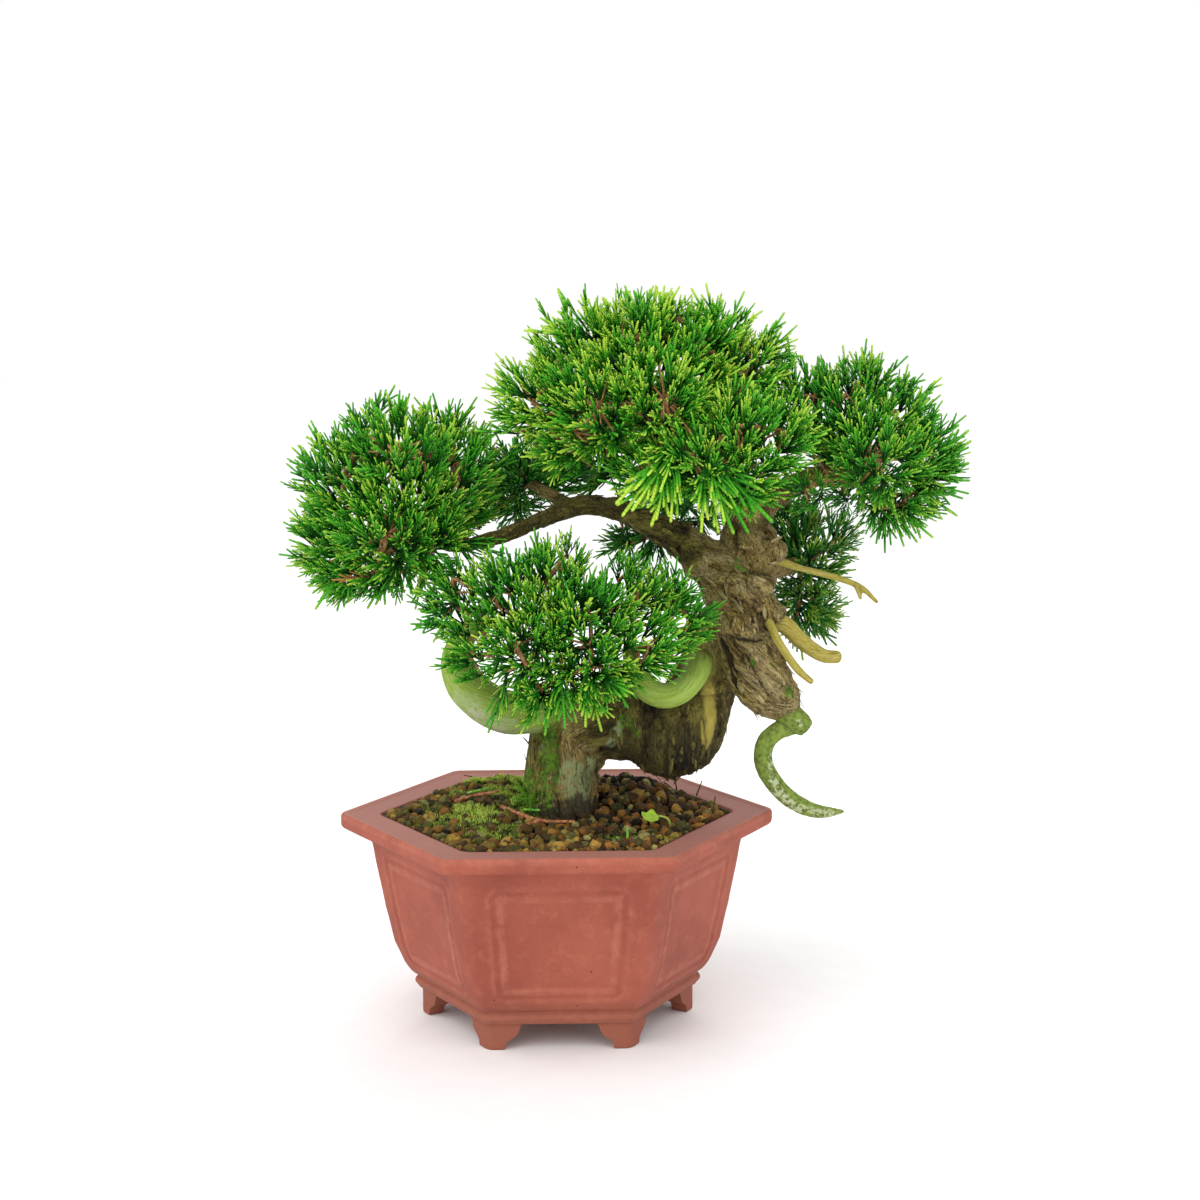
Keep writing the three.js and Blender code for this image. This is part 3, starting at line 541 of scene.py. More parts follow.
def clayLook():
    look, graph = newLook("unglazedClay", IOR=1.45)
    at, c = graph.coords(), tints(pot)
    height = graph.add("ShaderNodeSeparateXYZ", {}, {"Vector": at}, 2)
    cloud = graph.noise(at, 22.0, 4.0, 0.6)
    mottle = graph.noise(at, 160.0, 4.0, 0.65, 0.4)
    grain = graph.noise(at, 1500.0, 2.0, 0.6)
    low = 1 - (height + (mottle - 0.5) * 0.014).between(0.012, 0.034)
    worn = graph.mark("wear") * (mottle + grain * 0.5).between(0.55, 0.85)
    cells = graph.add("ShaderNodeTexVoronoi", {}, {"Vector": at, "Scale": 150.0})
    rare = graph.add("ShaderNodeTexVoronoi", {}, {"Vector": at, "Scale": 150.0}, 1)
    pick = graph.add("ShaderNodeSeparateColor", {}, {"Color": rare}, 0)
    pits = (1 - cells.between(0.04, 0.09)) * pick.between(0.86, 0.88)
    specks = (1 - cells.between(0.05, 0.13)) * (1 - pick.between(0.06, 0.07))
    colour = graph.coats(
        c["body"], (cloud.between(0.35, 0.68), c["deep"]), (mottle.between(0.48, 0.75) * 0.4, c["pale"]),
        # painted reflection of the sky on the top of the rim
        (graph.mark("rimTop") * 0.85, c["rim"]), (low * 0.8, c["foot"]), (worn * 0.5, c["pale"]),
        (specks * 0.6, c["speck"]), (pits * 0.85, c["pit"]), (grain.between(0.3, 0.75) * 0.14, c["pit"]))
    roughness = 0.62 + mottle * 0.25 - worn * 0.08
    relief = graph.noise(at, 300.0, 5.0, 0.6) * 0.6 + grain * 0.25 - pits * 1.6
    graph.paint(colour, roughness, graph.bump(relief, 0.00035, 0.6))
    return look


def makePot():
    rings, marks, rimSheenShares = [], [], []
    rows = potRows()
    outer = np.argmax(rows[:, 0] > pot["rimTop"])
    low, high = pot["panelLow"] - pot["panelReach"], pot["panelHigh"] + pot["panelReach"]
    for i, (z, radius, rounding) in enumerate(rows):
        onPanel = i < outer and low < z < high
        ring, wear = hexRow(z, radius, rounding, onPanel)
        least = pot["mouldingWear"] if z < pot["mouldingTop"] else 0
        if outer - 5 <= i <= outer + 3:
            least = pot["rimWear"]
        rings.append(ring)
        marks.append(np.maximum(wear, least))
        # the top of the rim, where the painted sky reflection goes
        rimSheenShares.append(np.full(len(ring), 1.0 if i >= outer and z > pot["rimInside"] else 0.0))
    around = len(rings[0])
    angles = np.arctan2(rings[0][:, 1], rings[0][:, 0])
    hole = headings(angles) * pot["drain"]
    for z in (pot["floor"], pot["underside"]):
        rings.append(hole + [0, 0, z])
        marks.append(np.zeros(around))
        rimSheenShares.append(np.zeros(around))
    points, faces = lofted(rings, closed=True)
    warp = cloudNoise(points / 26, 3, 2) * pot["unevenness"]
    outward = points * [1, 1, 0]
    outward /= np.linalg.norm(outward, axis=1)[:, None] + 1e-9
    warp = (warp - pot["unevenness"]) * (points[:, 2] > pot["underside"] + 0.5)
    points = points + outward * warp[:, None]
    look = clayLook()
    marks = {"wear": np.concatenate(marks), "rimTop": np.concatenate(rimSheenShares)}
    body = makePiece("potBody", points, faces, [look], marks)
    rings = [footRings(corner * math.pi / 3) for corner in range(6)]
    feet = makePiece("feet", *gathered([lofted(foot) for foot in rings]), [look])
    for thing in (body, feet):
        outwardFaces(thing)
    union = body.modifiers.new("feet", "BOOLEAN")
    union.operation, union.solver, union.object = "UNION", "MANIFOLD", feet
    made = settled(body, "claypot")
    bpy.data.objects.remove(feet)
    made.data.shade_smooth()
    made.data.set_sharp_from_angle(angle=math.radians(pot["sharpEdge"]))
    place(made, "fired_clay", "pot")


makePot()


# The wood
wood = {
    "limbs": {  # x, y, z, radius from the root outwards
        "base": [(2, 3, 62, 6), (1.5, 3, 76, 13), (1.5, 2, 92, 19.5), (1.5, 0, 104, 19.5), (2, -1, 118, 18.6),
                 (4, -2, 132, 18), (6.5, -2, 146, 17.8), (23, -3, 150.5, 18.6), (38, -3, 150, 19),
                 (51, -2, 145.5, 20.5), (60, -2, 143, 20.8), (65, -1, 150.5, 20), (71.5, 3, 162, 18),
                 (78, 9, 176, 16), (82, 10, 190, 15), (88, 6, 204, 13)],
        "upper": [(116, -13, 156, 5.5), (112.5, -12, 160, 9.6), (105, -11, 170, 14.3), (98.5, -8, 182, 15.4),
                  (94, -5, 194, 14.6), (94, -2, 207, 15.4), (87.5, 1, 219, 14.8), (79, 3, 228.5, 12.4),
                  (67, 4, 237.5, 9.2), (52, 4, 247, 7.4), (35, 4, 254.8, 6.2), (21, 3, 259, 5.5),
                  (8.5, 3, 258.5, 5.4), (-4, 1, 253.5, 5), (-17, -1, 248.5, 4.4), (-31, -3, 243.5, 4),
                  (-49, -4, 241, 3.6), (-66, -3, 246, 2.9)],
        "leader": [(90, 1, 206, 10), (96, 5, 224, 14.5), (97, 7, 238, 14.2), (97, 9, 250, 11),
                   (92, 8, 263, 8.6), (81, 6, 278, 7), (67, 5, 291, 5.8), (52, 3, 302, 4.4), (42, 2, 310, 3)],
        "toRight": [(98, 9, 246, 6), (111, 12, 262, 5.6), (129, 13, 271, 4.8), (146, 10, 276, 4),
                    (154, 7, 279, 3)],
        "toBackRight": [(94, 6, 222, 6), (106, 21, 222, 5.6), (118, 36, 223, 4.6), (127, 45, 224, 3)],
        "toFrontRight": [(95, 6, 246, 6), (96, -8, 262, 5.6), (93, -20, 272, 4.8), (88, -29, 277, 3)],
        "toBack": [(82, 7, 274, 5.6), (74, 26, 280, 5.2), (66, 46, 284, 4.4), (61, 60, 286, 3)],
        "toMiddleLeft": [(8, 2, 258, 4.6), (0, 14, 262, 4.2), (-8, 27, 266, 3.7), (-13, 33, 268, 3)],
        "leftCurl": [(4, -6, 158, 9), (-12, -12, 158, 10.6), (-24, -16, 158.5, 11), (-35, -19, 164, 10.6),
                     (-45, -20, 173.5, 9.6), (-49, -21, 186, 8), (-44, -24, 199, 5.4), (-32, -28, 206, 3)],
        "rightCurl": [(72, -2, 180, 7), (70, -13, 179, 6.6), (66, -22, 174.5, 6.3), (60, -28, 170.4, 6.3),
                      (52.3, -31, 169.2, 6.5), (44.4, -32, 172.3, 6.3), (39.6, -31, 178.6, 5.6),
                      (36.7, -30, 185.8, 4.6), (34.7, -30, 194.3, 2.8)],
        "longSpur": [(100, 3, 233, 3.4), (108, 2, 232, 2.4), (122, 0.5, 227.5, 1.7), (140, -3, 223, 1.65),
                     (152, -5, 218.3, 1.6), (160, -7, 211, 1.0)],
        "sideSpur": [(150, -5, 219.5, 1.7), (151, -5, 216, 1.4), (152, -5, 212.4, 0.9)],
        "shortSpur": [(104, -4, 203, 5.2), (114, -6, 199.7, 4.6), (120.3, -9, 193.6, 4.2),
                      (127, -12, 188.5, 3.8), (133, -14, 185.3, 3.5), (139.6, -15, 184.9, 3.3)],
        "thinSpur": [(104, -9, 204, 2.4), (106.5, -16, 200, 2.3), (108.6, -21.5, 195, 2.2),
                     (113, -23, 188, 2.1), (119.4, -23, 179.5, 2), (125.8, -23, 173.9, 1.5)],
        "knob": [(111, -12, 161, 5.6), (117, -14, 154.5, 6.6), (121.5, -15, 151.2, 6),
                 (124.5, -15.5, 148.6, 4.6)],
        "hook": [(117, -14, 150.5, 4.9), (109.2, -14.5, 147.1, 4.6), (104.2, -15, 142.2, 4.7),
                 (102.7, -15, 134.6, 4.7), (104.3, -15, 127.9, 4.7), (107.3, -15, 122.8, 4.6),
                 (111.4, -15, 117.6, 4.5), (116.5, -15, 113, 4.4), (122.5, -15, 109.3, 4.2),
                 (129.6, -15, 106.7, 3.6), (136.6, -15, 106.1, 2.6), (143.2, -15, 106.3, 0.9)],
    },
    "swirls": [(88, -16, 220, 6.4, 1.0), (88, -17, 220, 3.4, 0.8), (103, -17, 211, 5.0, 0.9),
               (113, -15, 169, 3.6, 0.8)],  # rings of cracked bark, painted dark with the creases as painted shade: x, y, z, radius, half width
    "burrs": [(87, -8, 224, 8.5), (101, -9, 222, 7.5), (109, 2, 236, 6.5), (99, -2, 243, 11),
              (71, -1, 231, 9.5), (92, -11, 211, 8), (108, -5, 205, 7), (110, -22, 168, 6), (62, -17, 136, 9),
              (-6, -6, 107, 9), (12, 12, 107, 10), (17, -4, 131, 7.5),
              (15.5, -4, 122, 7.2), (13.5, -4, 113, 7.5)],
    # each limb's skin: depth of its fissures, turns of its grain per mm, how short its plates are, kind
    "skin": {
        "base": (0.9, 0.002, 0.13, "rough"), "upper": (1.3, 0.005, 0.34, "rough"),
        "leader": (1.25, 0.004, 0.34, "rough"), "toMiddleLeft": (0.5, 0.01, 0.25, "rough"),
        **dict.fromkeys(("toRight", "toBackRight", "toFrontRight", "toBack"), (0.6, 0.01, 0.25, "rough")),
        "leftCurl": (0.25, 0.006, 0.13, "smooth"), "rightCurl": (0.25, 0.006, 0.13, "smooth"),
        "longSpur": (0.3, 0.01, 0.13, "bare"), "sideSpur": (0.2, 0.01, 0.13, "bare"),
        "shortSpur": (0.35, 0.01, 0.13, "bare"), "thinSpur": (0.3, 0.01, 0.13, "bare"),
        "knob": (0.35, 0.0, 0.13, "mossy"), "hook": (0.3, 0.01, 0.13, "mossy"),
    },
    "flakes": {"count": 460, "length": (4, 11), "width": (1.0, 2.6), "lift": (0.3, 1.2), "thick": 0.4,
               "lowest": 112.0, "elbow": (20, 82, 166),  # left, right and top of the bark that hangs
               # rings of a flake: how far along it, how wide, how high
               "rings": [(0, 0.5, -0.5), (0.35, 1, 0.15), (0.75, 0.8, 0.45), (1, 0.25, 1)],
               # where they crowd: x, y, z, how far round, how many times more
               "crowds": [(115, -14, 158, 12, 2), (55, -10, 125, 20, 2), (88, -16, 222, 12, 3),
                          (100, -16, 196, 12, 1.4)]},
    "endBulge": 0.6, "ends": {"knob": 0.12},  # how far a limb's end bulges, as a share of its radius
    "stubs": ["longSpur", "sideSpur", "shortSpur", "thinSpur", "knob", "hook"],
    "step": 2.2,  # between the samples along a limb
    "drawnOut": 0.13,  # how much slower the wood changes along its grain than across it
    "voxel": 1.12, "stubVoxel": 0.74, "softening": 5, "stubSoftening": 2,
    "blend": 1.6,  # how far the skins of two limbs run into each other
    "elbowSide": (20, 34), "elbowTop": (160, 172),  # x and z where the elbow's hanging grain begins
    "upperCrease": 195.5,  # under this height the plates of the upper trunk run long
    # it runs down the front of the column and fades at its foot, its top and its back
    "groove": {"line": [(0.6, 152), (0, 136), (-0.8, 122), (0.6, 110), (1.5, 98)], "width": 2.1,
               "depth": 3.2, "foot": (96, 100), "top": (146, 156), "back": (-13, -6)},
    "ragged": 0.55, "raggedness": {"bare": 0.25, "crease": 0.3},  # how torn the patches' edges are
    # painted patches: lines of x, y, z, half width
    "patches": {
        "bare": [[(70, -22, 186, 3.2), (74, -22, 177, 4.6), (76.4, -22, 166, 4.4), (77, -22, 152, 3.5),
                  (75.2, -22, 141, 2.4)], [(71.5, -22, 158, 1.2), (72.5, -22, 143, 1.2)]],
        "moss": [[(-3.5, -19, 150, 3.4), (-4, -18, 139, 4.0), (-4, -18, 129, 3.6), (-9, -18, 116, 3.6)],
                 [(-1, -20, 129, 1.5), (-2.6, -20, 120, 1.5), (-4.7, -20, 111, 2.2)],
                 [(-13, -10, 126, 3), (-16, -8, 108, 7)], [(88.4, -13, 240, 2.2), (90, -14, 231, 2.4)],
                 [(-14, 0, 118, 7), (-16, 2, 104, 9)], [(33, -22, 156, 2), (40, -24, 148, 1.6)],
                 [(96.7, -25, 184, 1.7)], [(105.8, -25, 183, 1.3)], [(114, -24, 169, 2.6)]],
        "lichen": [[(18, -18, 131, 4.5), (10, -19, 126, 8), (12, -19, 119, 7)], [(2, -19, 127, 4)],
                   [(27, -19, 143, 2.6), (31, -20, 154, 2)], [(-6, -17, 140, 2)],
                   [(-12, -28, 148, 5), (-26, -30, 151, 7), (-38, -30, 158, 6), (-46, -30, 168, 5)]],
        "wet": [[(-20, -10, 101, 9), (0, -22, 104, 9), (12, -20, 108, 8), (24, -12, 102, 9), (22, 16, 101, 9),
                 (-8, 20, 101, 9), (-20, -10, 101, 9)], [(-9, -18, 116, 3)]],
        "olive": [[(24, -14, 148, 12), (40, -14, 146, 20), (60, -14, 140, 24), (72, -8, 156, 18)],
                  [(66, 4, 238, 9), (52, 4, 247, 9), (35, 4, 255, 9), (8, 2, 258, 9), (-17, -2, 248, 9),
                   (-49, -4, 241, 8)],
                  [(-8, -14, 150, 8), (-12, -10, 128, 8)]],
        "shade": [[(34, -10, 140, 10), (48, -10, 136, 17), (64, -8, 134, 18), (74, -6, 146, 10)]],
        # seams and crevices that are sunk into the wood and painted dark, as painted shade in them
        "crease": [[(79, -19, 198, 1.0), (88, -20, 195.5, 1.4), (96.4, -20, 194, 1.1),
                    (102, -19, 194.5, 0.7)],
                   [(79.5, -15, 196, 1.8), (84, -15, 186.5, 1.8), (87, -16, 178, 1.8), (88.5, -17, 169, 1.8)],
                   [(21.3, -17, 150, 0.8), (22, -17, 138, 1.0), (21, -17, 124, 0.8)],
                   [(93, -22, 188, 0.7), (98, -24, 178, 0.8), (104, -25, 168, 0.7)],
                   [(106, -22, 190, 0.8), (112, -22, 181, 0.9), (114, -22, 174, 0.7)],
                   [(58, -22, 138, 0.9), (57, -20, 124, 1.0)], [(44, -21, 148, 0.8), (45, -19, 130, 0.9)],
                   [(66, -22, 136, 0.7), (65, -20, 126, 0.8)]],
        "whitish": [[(106.5, -18, 135, 1.6), (107, -19, 124, 2.0), (111, -19, 116, 2.4),
                     (119, -18, 110, 2.4), (128, -18, 107, 1.6), (140, -17, 105.4, 1.4)],
                    [(120, -20, 153, 1.8)], [(-30, -28, 152, 5), (-40, -28, 160, 4)]],
    },
    "colours": {"dark": "1a1308", "bark": "9c8240", "ridge": "c4ad64", "flake": "d4c084", "grey": "a08a62",
                "olive": "565016", "oliveRidge": "989038", "moss": "79ae2c", "mossDark": "3a5e16",
                "lichen": "b4c88a", "strip": "d6c45a", "whitish": "c6cca2", "bare": "b9ac4c",
                "bareDark": "857628",
                "curlDark": "476818", "curl": "93b33c", "curlPale": "b9cf6e", "wet": "1c1b1a",
                "hookDark": "41601d", "hook": "84a03e"},
}


def pathThrough(stations, step):  # centres, radii and run along a smooth curve through the stations
    rows = np.array(stations, float)
    rows = np.vstack([2 * rows[0] - rows[1], rows, 2 * rows[-1] - rows[-2]])
    out = []
    for a, b, c, d in zip(rows, rows[1:], rows[2:], rows[3:]):
        spans = [max(np.linalg.norm((q - p)[:3]), 1e-6) ** 0.5 for p, q in ((a, b), (b, c), (c, d))]
        lean = ((b - a) / spans[0] - (c - a) / (spans[0] + spans[1]) + (c - b) / spans[1]) * spans[1]
        leanNext = ((c - b) / spans[1] - (d - b) / (spans[1] + spans[2]) + (d - c) / spans[2]) * spans[1]
        count = max(2, int(math.ceil(np.linalg.norm((c - b)[:3]) / step)))
        for t in np.arange(count) / count:
            row = cubic(t, b, lean, c, leanNext)
            row[3] = b[3] + (c[3] - b[3]) * t
            out.append(row)
    out.append(rows[-2])
    out = np.array(out)
    return out[:, :3], out[:, 3], runAlong(out[:, :3])


def framesAlong(centres):  # tangents and two sides that don't twist
    tangents = np.gradient(centres, axis=0)
    tangents /= np.linalg.norm(tangents, axis=1)[:, None]
    side = np.cross(tangents[0], [0.3, 1, 0.2])
    sides = []
    for tangent in tangents:
        side = side - tangent * (side @ tangent)
        side = side / np.linalg.norm(side)
        sides.append(side)
    sides = np.array(sides)
    return tangents, sides, np.cross(tangents, sides)


def tube(centres, radii, around, roundEnd=0.0):  # its end bulges by this share of its radius
    tangents, sides, ups = framesAlong(centres)
    rows = list(zip(centres, radii, sides, ups))
    caps = (0.5, 0.85) if roundEnd else ()
    for share in caps:
        turn = share * math.pi / 2
        centre = centres[-1] + tangents[-1] * radii[-1] * roundEnd * math.sin(turn)
        rows.append((centre, radii[-1] * math.cos(turn), sides[-1], ups[-1]))
    angles = turnsOf(around)
    rings = [c + r * (np.cos(angles)[:, None] * s + np.sin(angles)[:, None] * u) for c, r, s, u in rows]
    return lofted(rings)


def ballMesh(centre, radius, rings, around, flat):
    rows = []
    for i in range(1, rings):
        turn = math.pi * i / rings
        row = headings(turnsOf(around)) * math.sin(turn) + [0, 0, -math.cos(turn) * flat]
        rows.append(np.array(centre) + radius * row)
    return lofted(rows)


def limbPath(stations):
    centres, radii, run = pathThrough(stations, wood["step"])
    tangents, sides, ups = framesAlong(centres)
    return {"centres": centres, "radii": radii, "run": run, "tangents": tangents, "sides": sides, "ups": ups}


limbPaths = {name: limbPath(stations) for name, stations in wood["limbs"].items()}


def limbSpace(points, names):
    # For every limb: the gap to its surface, the place in the limb drawn out straight, and its radius there.
    space = {}
    for name in names:
        path = limbPaths[name]
        away = np.linalg.norm(points[:, None, :] - path["centres"][None], axis=2) - path["radii"][None]
        nearest = np.argmin(away, axis=1)
        offset = points - path["centres"][nearest]
        lie = [np.sum(offset * path[key][nearest], axis=1) for key in ("sides", "ups", "tangents")]
        run = path["run"][nearest] + lie[2]
        turn = run * wood["skin"][name][1] * 2 * math.pi
        a = lie[0] * np.cos(turn) - lie[1] * np.sin(turn)
        b = lie[0] * np.sin(turn) + lie[1] * np.cos(turn)
        space[name] = (away[np.arange(len(points)), nearest], np.stack([a, b, run], 1),
                       path["radii"][nearest])
    return space


def lengthwise(share, across=1.0):  # scales for places in a limb drawn out straight
    share = np.atleast_1d(share)
    return np.stack([0 * share + across, 0 * share + across, share], 1)


def skinRelief(kind, drawn, points, seed, short):  # height of the skin, from about -1 to 1
    stretched = drawn * lengthwise(short)
    if kind == "rough":
        wander = stretched + 0.8 * np.stack([latticeNoise(drawn * 0.11 + k * 31, seed) for k in range(3)], 1)
        cracks = 1 - np.clip(np.abs(latticeNoise(wander * 0.3, seed)) * 7, 0, 1)
        small = 1 - np.clip(np.abs(latticeNoise(wander * 0.75, seed + 3)) * 4, 0, 1)
        steps = latticeNoise(drawn * lengthwise(0.35 * short, 0.16), seed + 5) * 3.2
        plates = np.floor(steps) + smoothStep(steps - np.floor(steps), 0.0, 0.25)
        fine = latticeNoise(wander * 1.3, seed + 7)
        return 0.4 * plates - 0.95 * cracks - 0.45 * small + 0.2 * fine
    if kind == "smooth":
        return 0.7 * latticeNoise(stretched * 0.7, seed) + 0.4 * latticeNoise(points * 0.12, seed)
    if kind == "bare":
        cracks = 1 - np.clip(np.abs(latticeNoise(stretched * [0.7, 0.7, 0.5], seed)) * 4, 0, 1)
        return 0.5 * latticeNoise(stretched * 1.3, seed + 2) - 0.7 * cracks
    return 0.8 * latticeNoise(points * 0.45, seed) + 0.5 * latticeNoise(points, seed + 1)


def strokeShare(points, stroke, seed, ragged):  # 1 on a painted line, 0 past its ragged edge
    best = np.full(len(points), 9.0)
    stroke = [np.array(p, float) for p in stroke]
    for a, b in zip(stroke, stroke[1:] or stroke):
        line = b[:3] - a[:3]
        t = np.clip((points - a[:3]) @ line / max(line @ line, 1e-9), 0, 1)
        away = np.linalg.norm((points - (a[:3] + t[:, None] * line)) * [1, 0.4, 1], axis=1)
        best = np.minimum(best, away / (a[3] + t * (b[3] - a[3])))
    best = best + ragged * cloudNoise(points * 0.28, seed + 40, 2) * 0.7
    return smoothStep(1.25 - best, 0, 0.45)


def woodMarks(points, names, seed):
    # Heights and paint for every point of the wood, from the limbs round it.
    space = limbSpace(points, names)
    gaps = np.array([space[name][0] for name in names])
    nearest = np.argmin(gaps, axis=0)
    weights = np.exp(-np.clip(gaps - gaps.min(axis=0), 0, 60) / wood["blend"])
    weights /= weights.sum(axis=0)
    relief = np.zeros(len(points))
    kinds = {kind: np.zeros(len(points)) for kind in ("rough", "smooth", "bare", "mossy")}
    fibre = np.zeros((len(points), 3))
    for index, name in enumerate(names):
        depth, _, short, kind = wood["skin"][name]
        near = weights[index] > 0.02
        here = points[near]
        if name == "upper":
            short = np.where(here[:, 2] < wood["upperCrease"], 0.15, short)
        drawn = space[name][1][near]
        if name == "base":  # the elbow's grain hangs down instead of following the limb
            elbow = smoothStep(here[:, 0], *wood["elbowSide"]) * fading(here[:, 2], *wood["elbowTop"])
            hung = here + [0, 0, 40]
            bent = skinRelief(kind, hung, here, seed + 11, short) * 1.15
            height = skinRelief(kind, drawn, here, seed, short) * (1 - elbow) + bent * elbow
            drawn = np.where(elbow[:, None] > 0.5, hung, drawn)
        else:
            height = skinRelief(kind, drawn, here, seed + index, short)
        size = depth * np.clip(space[name][2][near] / 9, 0.45, 1)
        relief[near] += weights[index][near] * size * height
        kinds[kind] += weights[index]
        mine = nearest[near] == index
        fibre[np.where(near)[0][mine]] = (drawn * lengthwise(short / wood["drawnOut"]))[mine] + index * 40.0
    marks = dict(kinds)
    for patch, strokes in wood["patches"].items():
        ragged = wood["raggedness"].get(patch, wood["ragged"])
        share = np.zeros(len(points))
        for i, stroke in enumerate(strokes):
            share = np.maximum(share, strokeShare(points, stroke, i, ragged))
        marks[patch] = share
    # rings round the swirls join the creases, painted dark as painted shade
    for x, y, z, radius, width in wood["swirls"]:
        wavy = radius * (1 + 0.3 * latticeNoise(points * 0.2, 8))
        around = np.hypot(points[:, 0] - x, points[:, 2] - z) - wavy
        ring = smoothStep(width - np.abs(around), 0, width) * fading(points[:, 1], y + 3, y + 7)
        marks["crease"] = np.maximum(marks["crease"], ring)
    marks["bareWood"] = np.maximum(marks["bare"] * marks["rough"], kinds["bare"])
    return relief, fibre, marks


def grooveDepth(points):
    groove, (x, y, z) = wood["groove"], points.T
    heights, lines = zip(*[(height, line) for line, height in groove["line"]][::-1])
    middle = np.interp(z, heights, lines) + 0.6 * latticeNoise(points * [0, 0, 0.15], 9)
    front = fading(y, *groove["back"]) * smoothStep(z, *groove["foot"]) * fading(z, *groove["top"])
    return groove["depth"] * front * np.exp(-((x - middle) / groove["width"]) ** 2)


def barkLook():
    look, graph = newLook("juniperBark", IOR=1.4)
    c = tints(wood)
    at, fibre, height = graph.coords(), graph.mark("fibre", 1), graph.mark("height")
    long = graph.add("ShaderNodeMapping", {}, {"Vector": fibre, "Scale": (1, 1, wood["drawnOut"])})
    strands = graph.noise(long, 0.9, 5.0, 0.65, 0.6)
    threads = graph.noise(long, 3.2, 4.0, 0.65)
    cloud = graph.noise(at, 70.0, 3.0, 0.6)
    speck = graph.noise(at, 420.0, 3.0, 0.65)
    # painted shade: the fissure lines below and the creases darken the bark in cracks too fine for the mesh
    cracks = graph.veins(long, 0.34, 0.035) * 0.9
    cracks = cracks.calc("MAXIMUM", cracks, graph.veins(long, 0.95, 0.045) * 0.65)
    cracks = cracks.calc("MAXIMUM", cracks, graph.veins(long, 2.3, 0.05) * 0.45)
    cracks = cracks.calc("MAXIMUM", cracks, graph.mark("crease"))
    # the skin's height also sets the ramps, so its low places come out darker: partly the bark's own dark,
    # partly painted shade
    raised = height * 0.42 + strands * 0.5 + threads * 0.2 + (speck - 0.5) * 0.15
    rough = graph.ramp(raised, (0.2, c["dark"]), (0.39, c["bark"]), (0.57, c["ridge"]), (0.78, c["flake"]))
    rough = graph.mix(cloud.between(0.45, 0.7) * 0.55, rough, c["grey"])
    olive = graph.ramp(raised, (0.25, c["dark"]), (0.48, c["olive"]), (0.78, c["oliveRidge"]))
    curl = graph.ramp(strands + (threads - 0.5) * 0.3, (0.1, c["curlDark"]), (0.4, c["curl"]),
                      (0.75, c["curlPale"]))
    bare = graph.ramp(strands + (threads - 0.5) * 0.8, (0.25, c["bareDark"]), (0.5, c["bare"]),
                      (0.8, c["flake"]))
    bare = graph.mix(graph.mark("rough") * 0.75, bare, c["strip"])
    green = graph.mix(speck.between(0.35, 0.65), c["mossDark"], c["moss"])
    hookGreen = graph.mix(speck.between(0.25, 0.65), c["hookDark"], c["hook"])
    moss, wet = graph.mark("moss") * (speck + cloud).between(0.75, 1.05), graph.mark("wet")
    shadow = (1 - height.between(-0.3, 0.4)) * graph.mark("rough")
    colour = graph.coats(
        rough, (graph.mark("olive") * 0.85, olive), (cracks * 0.95 * graph.mark("rough"), c["dark"]),
        (graph.mark("shade") * 0.5, c["dark"]), (graph.mark("smooth"), curl), (graph.mark("bareWood"), bare),
        (graph.mark("mossy") * 0.9, hookGreen),
        (graph.mark("lichen") * speck.between(0.34, 0.55) * 0.85, c["lichen"]),
        (graph.mark("whitish") * speck.between(0.42, 0.56) * 0.9, c["whitish"]), (moss, green),
        (wet * 0.8, c["wet"]), (shadow * 0.45, c["dark"]))
    roughness = 0.85 - wet * 0.3 - graph.mark("smooth") * 0.2
    relief = strands * 0.7 + threads * 0.5 + speck * (0.3 + moss * 0.8)
    relief = relief - cracks * graph.mark("rough") * 0.7
    graph.paint(colour, roughness, graph.bump(relief, 0.0013, 1.0))
    return look


def fusedLimbs(name, limbs, balls, voxel, softening):
    parts = []
    for limb in limbs:
        path = limbPaths[limb]
        around = 28 if path["radii"].max() > 10 else 18
        bulge = wood["ends"].get(limb, wood["endBulge"])
        parts.append(tube(path["centres"], path["radii"], around, bulge))
    parts += [ballMesh(burr[:3], burr[3], 10, 16, 0.85) for burr in balls]
    piece = makePiece(name, *gathered(parts), [])
    fuse = piece.modifiers.new("fuse", "REMESH")
    fuse.mode, fuse.voxel_size = "VOXEL", voxel * mm
    soften = piece.modifiers.new("soften", "SMOOTH")
    soften.factor, soften.iterations = 0.5, softening
    return settled(piece, name)


def pointsOf(piece):  # its points in millimetres from the pot's axis, and their normals
    places, normals = np.zeros(len(piece.data.vertices) * 3), np.zeros(len(piece.data.vertices) * 3)
    piece.data.vertices.foreach_get("co", places)
    piece.data.vertex_normals.foreach_get("vector", normals)
    return (places.reshape(-1, 3) - potAxis) / mm, normals.reshape(-1, 3)


def markOf(piece, name, width=1):
    attribute, key = piece.data.attributes[name], "value" if width == 1 else "vector"
    values = np.zeros(len(piece.data.vertices) * width)
    attribute.data.foreach_get(key, values)
    return values if width == 1 else values.reshape(-1, width)


def dressWood(piece, limbs, look, seed):
    mesh = piece.data
    points, normals = pointsOf(piece)
    relief, fibre, marks = woodMarks(points, limbs, seed)
    lumps = cloudNoise(points * 0.055, seed + 60, 2) * 1.1 * marks["rough"]
    groove = grooveDepth(points)
    relief = relief * (1 - 0.6 * marks["bare"]) * (1 - 0.3 * marks["moss"])
    crease = marks["crease"] * marks["rough"]
    moved = points + normals * (relief + lumps - groove - 1.1 * crease)[:, None]
    mesh.vertices.foreach_set("co", inFrame(moved).ravel())
    marks["height"] = 0.5 + 0.45 * relief - 0.35 * groove / 3
    setMarks(mesh, {**marks, "fibre": fibre})
    mesh.materials.append(look)
    mesh.shade_smooth()
    mesh.update()


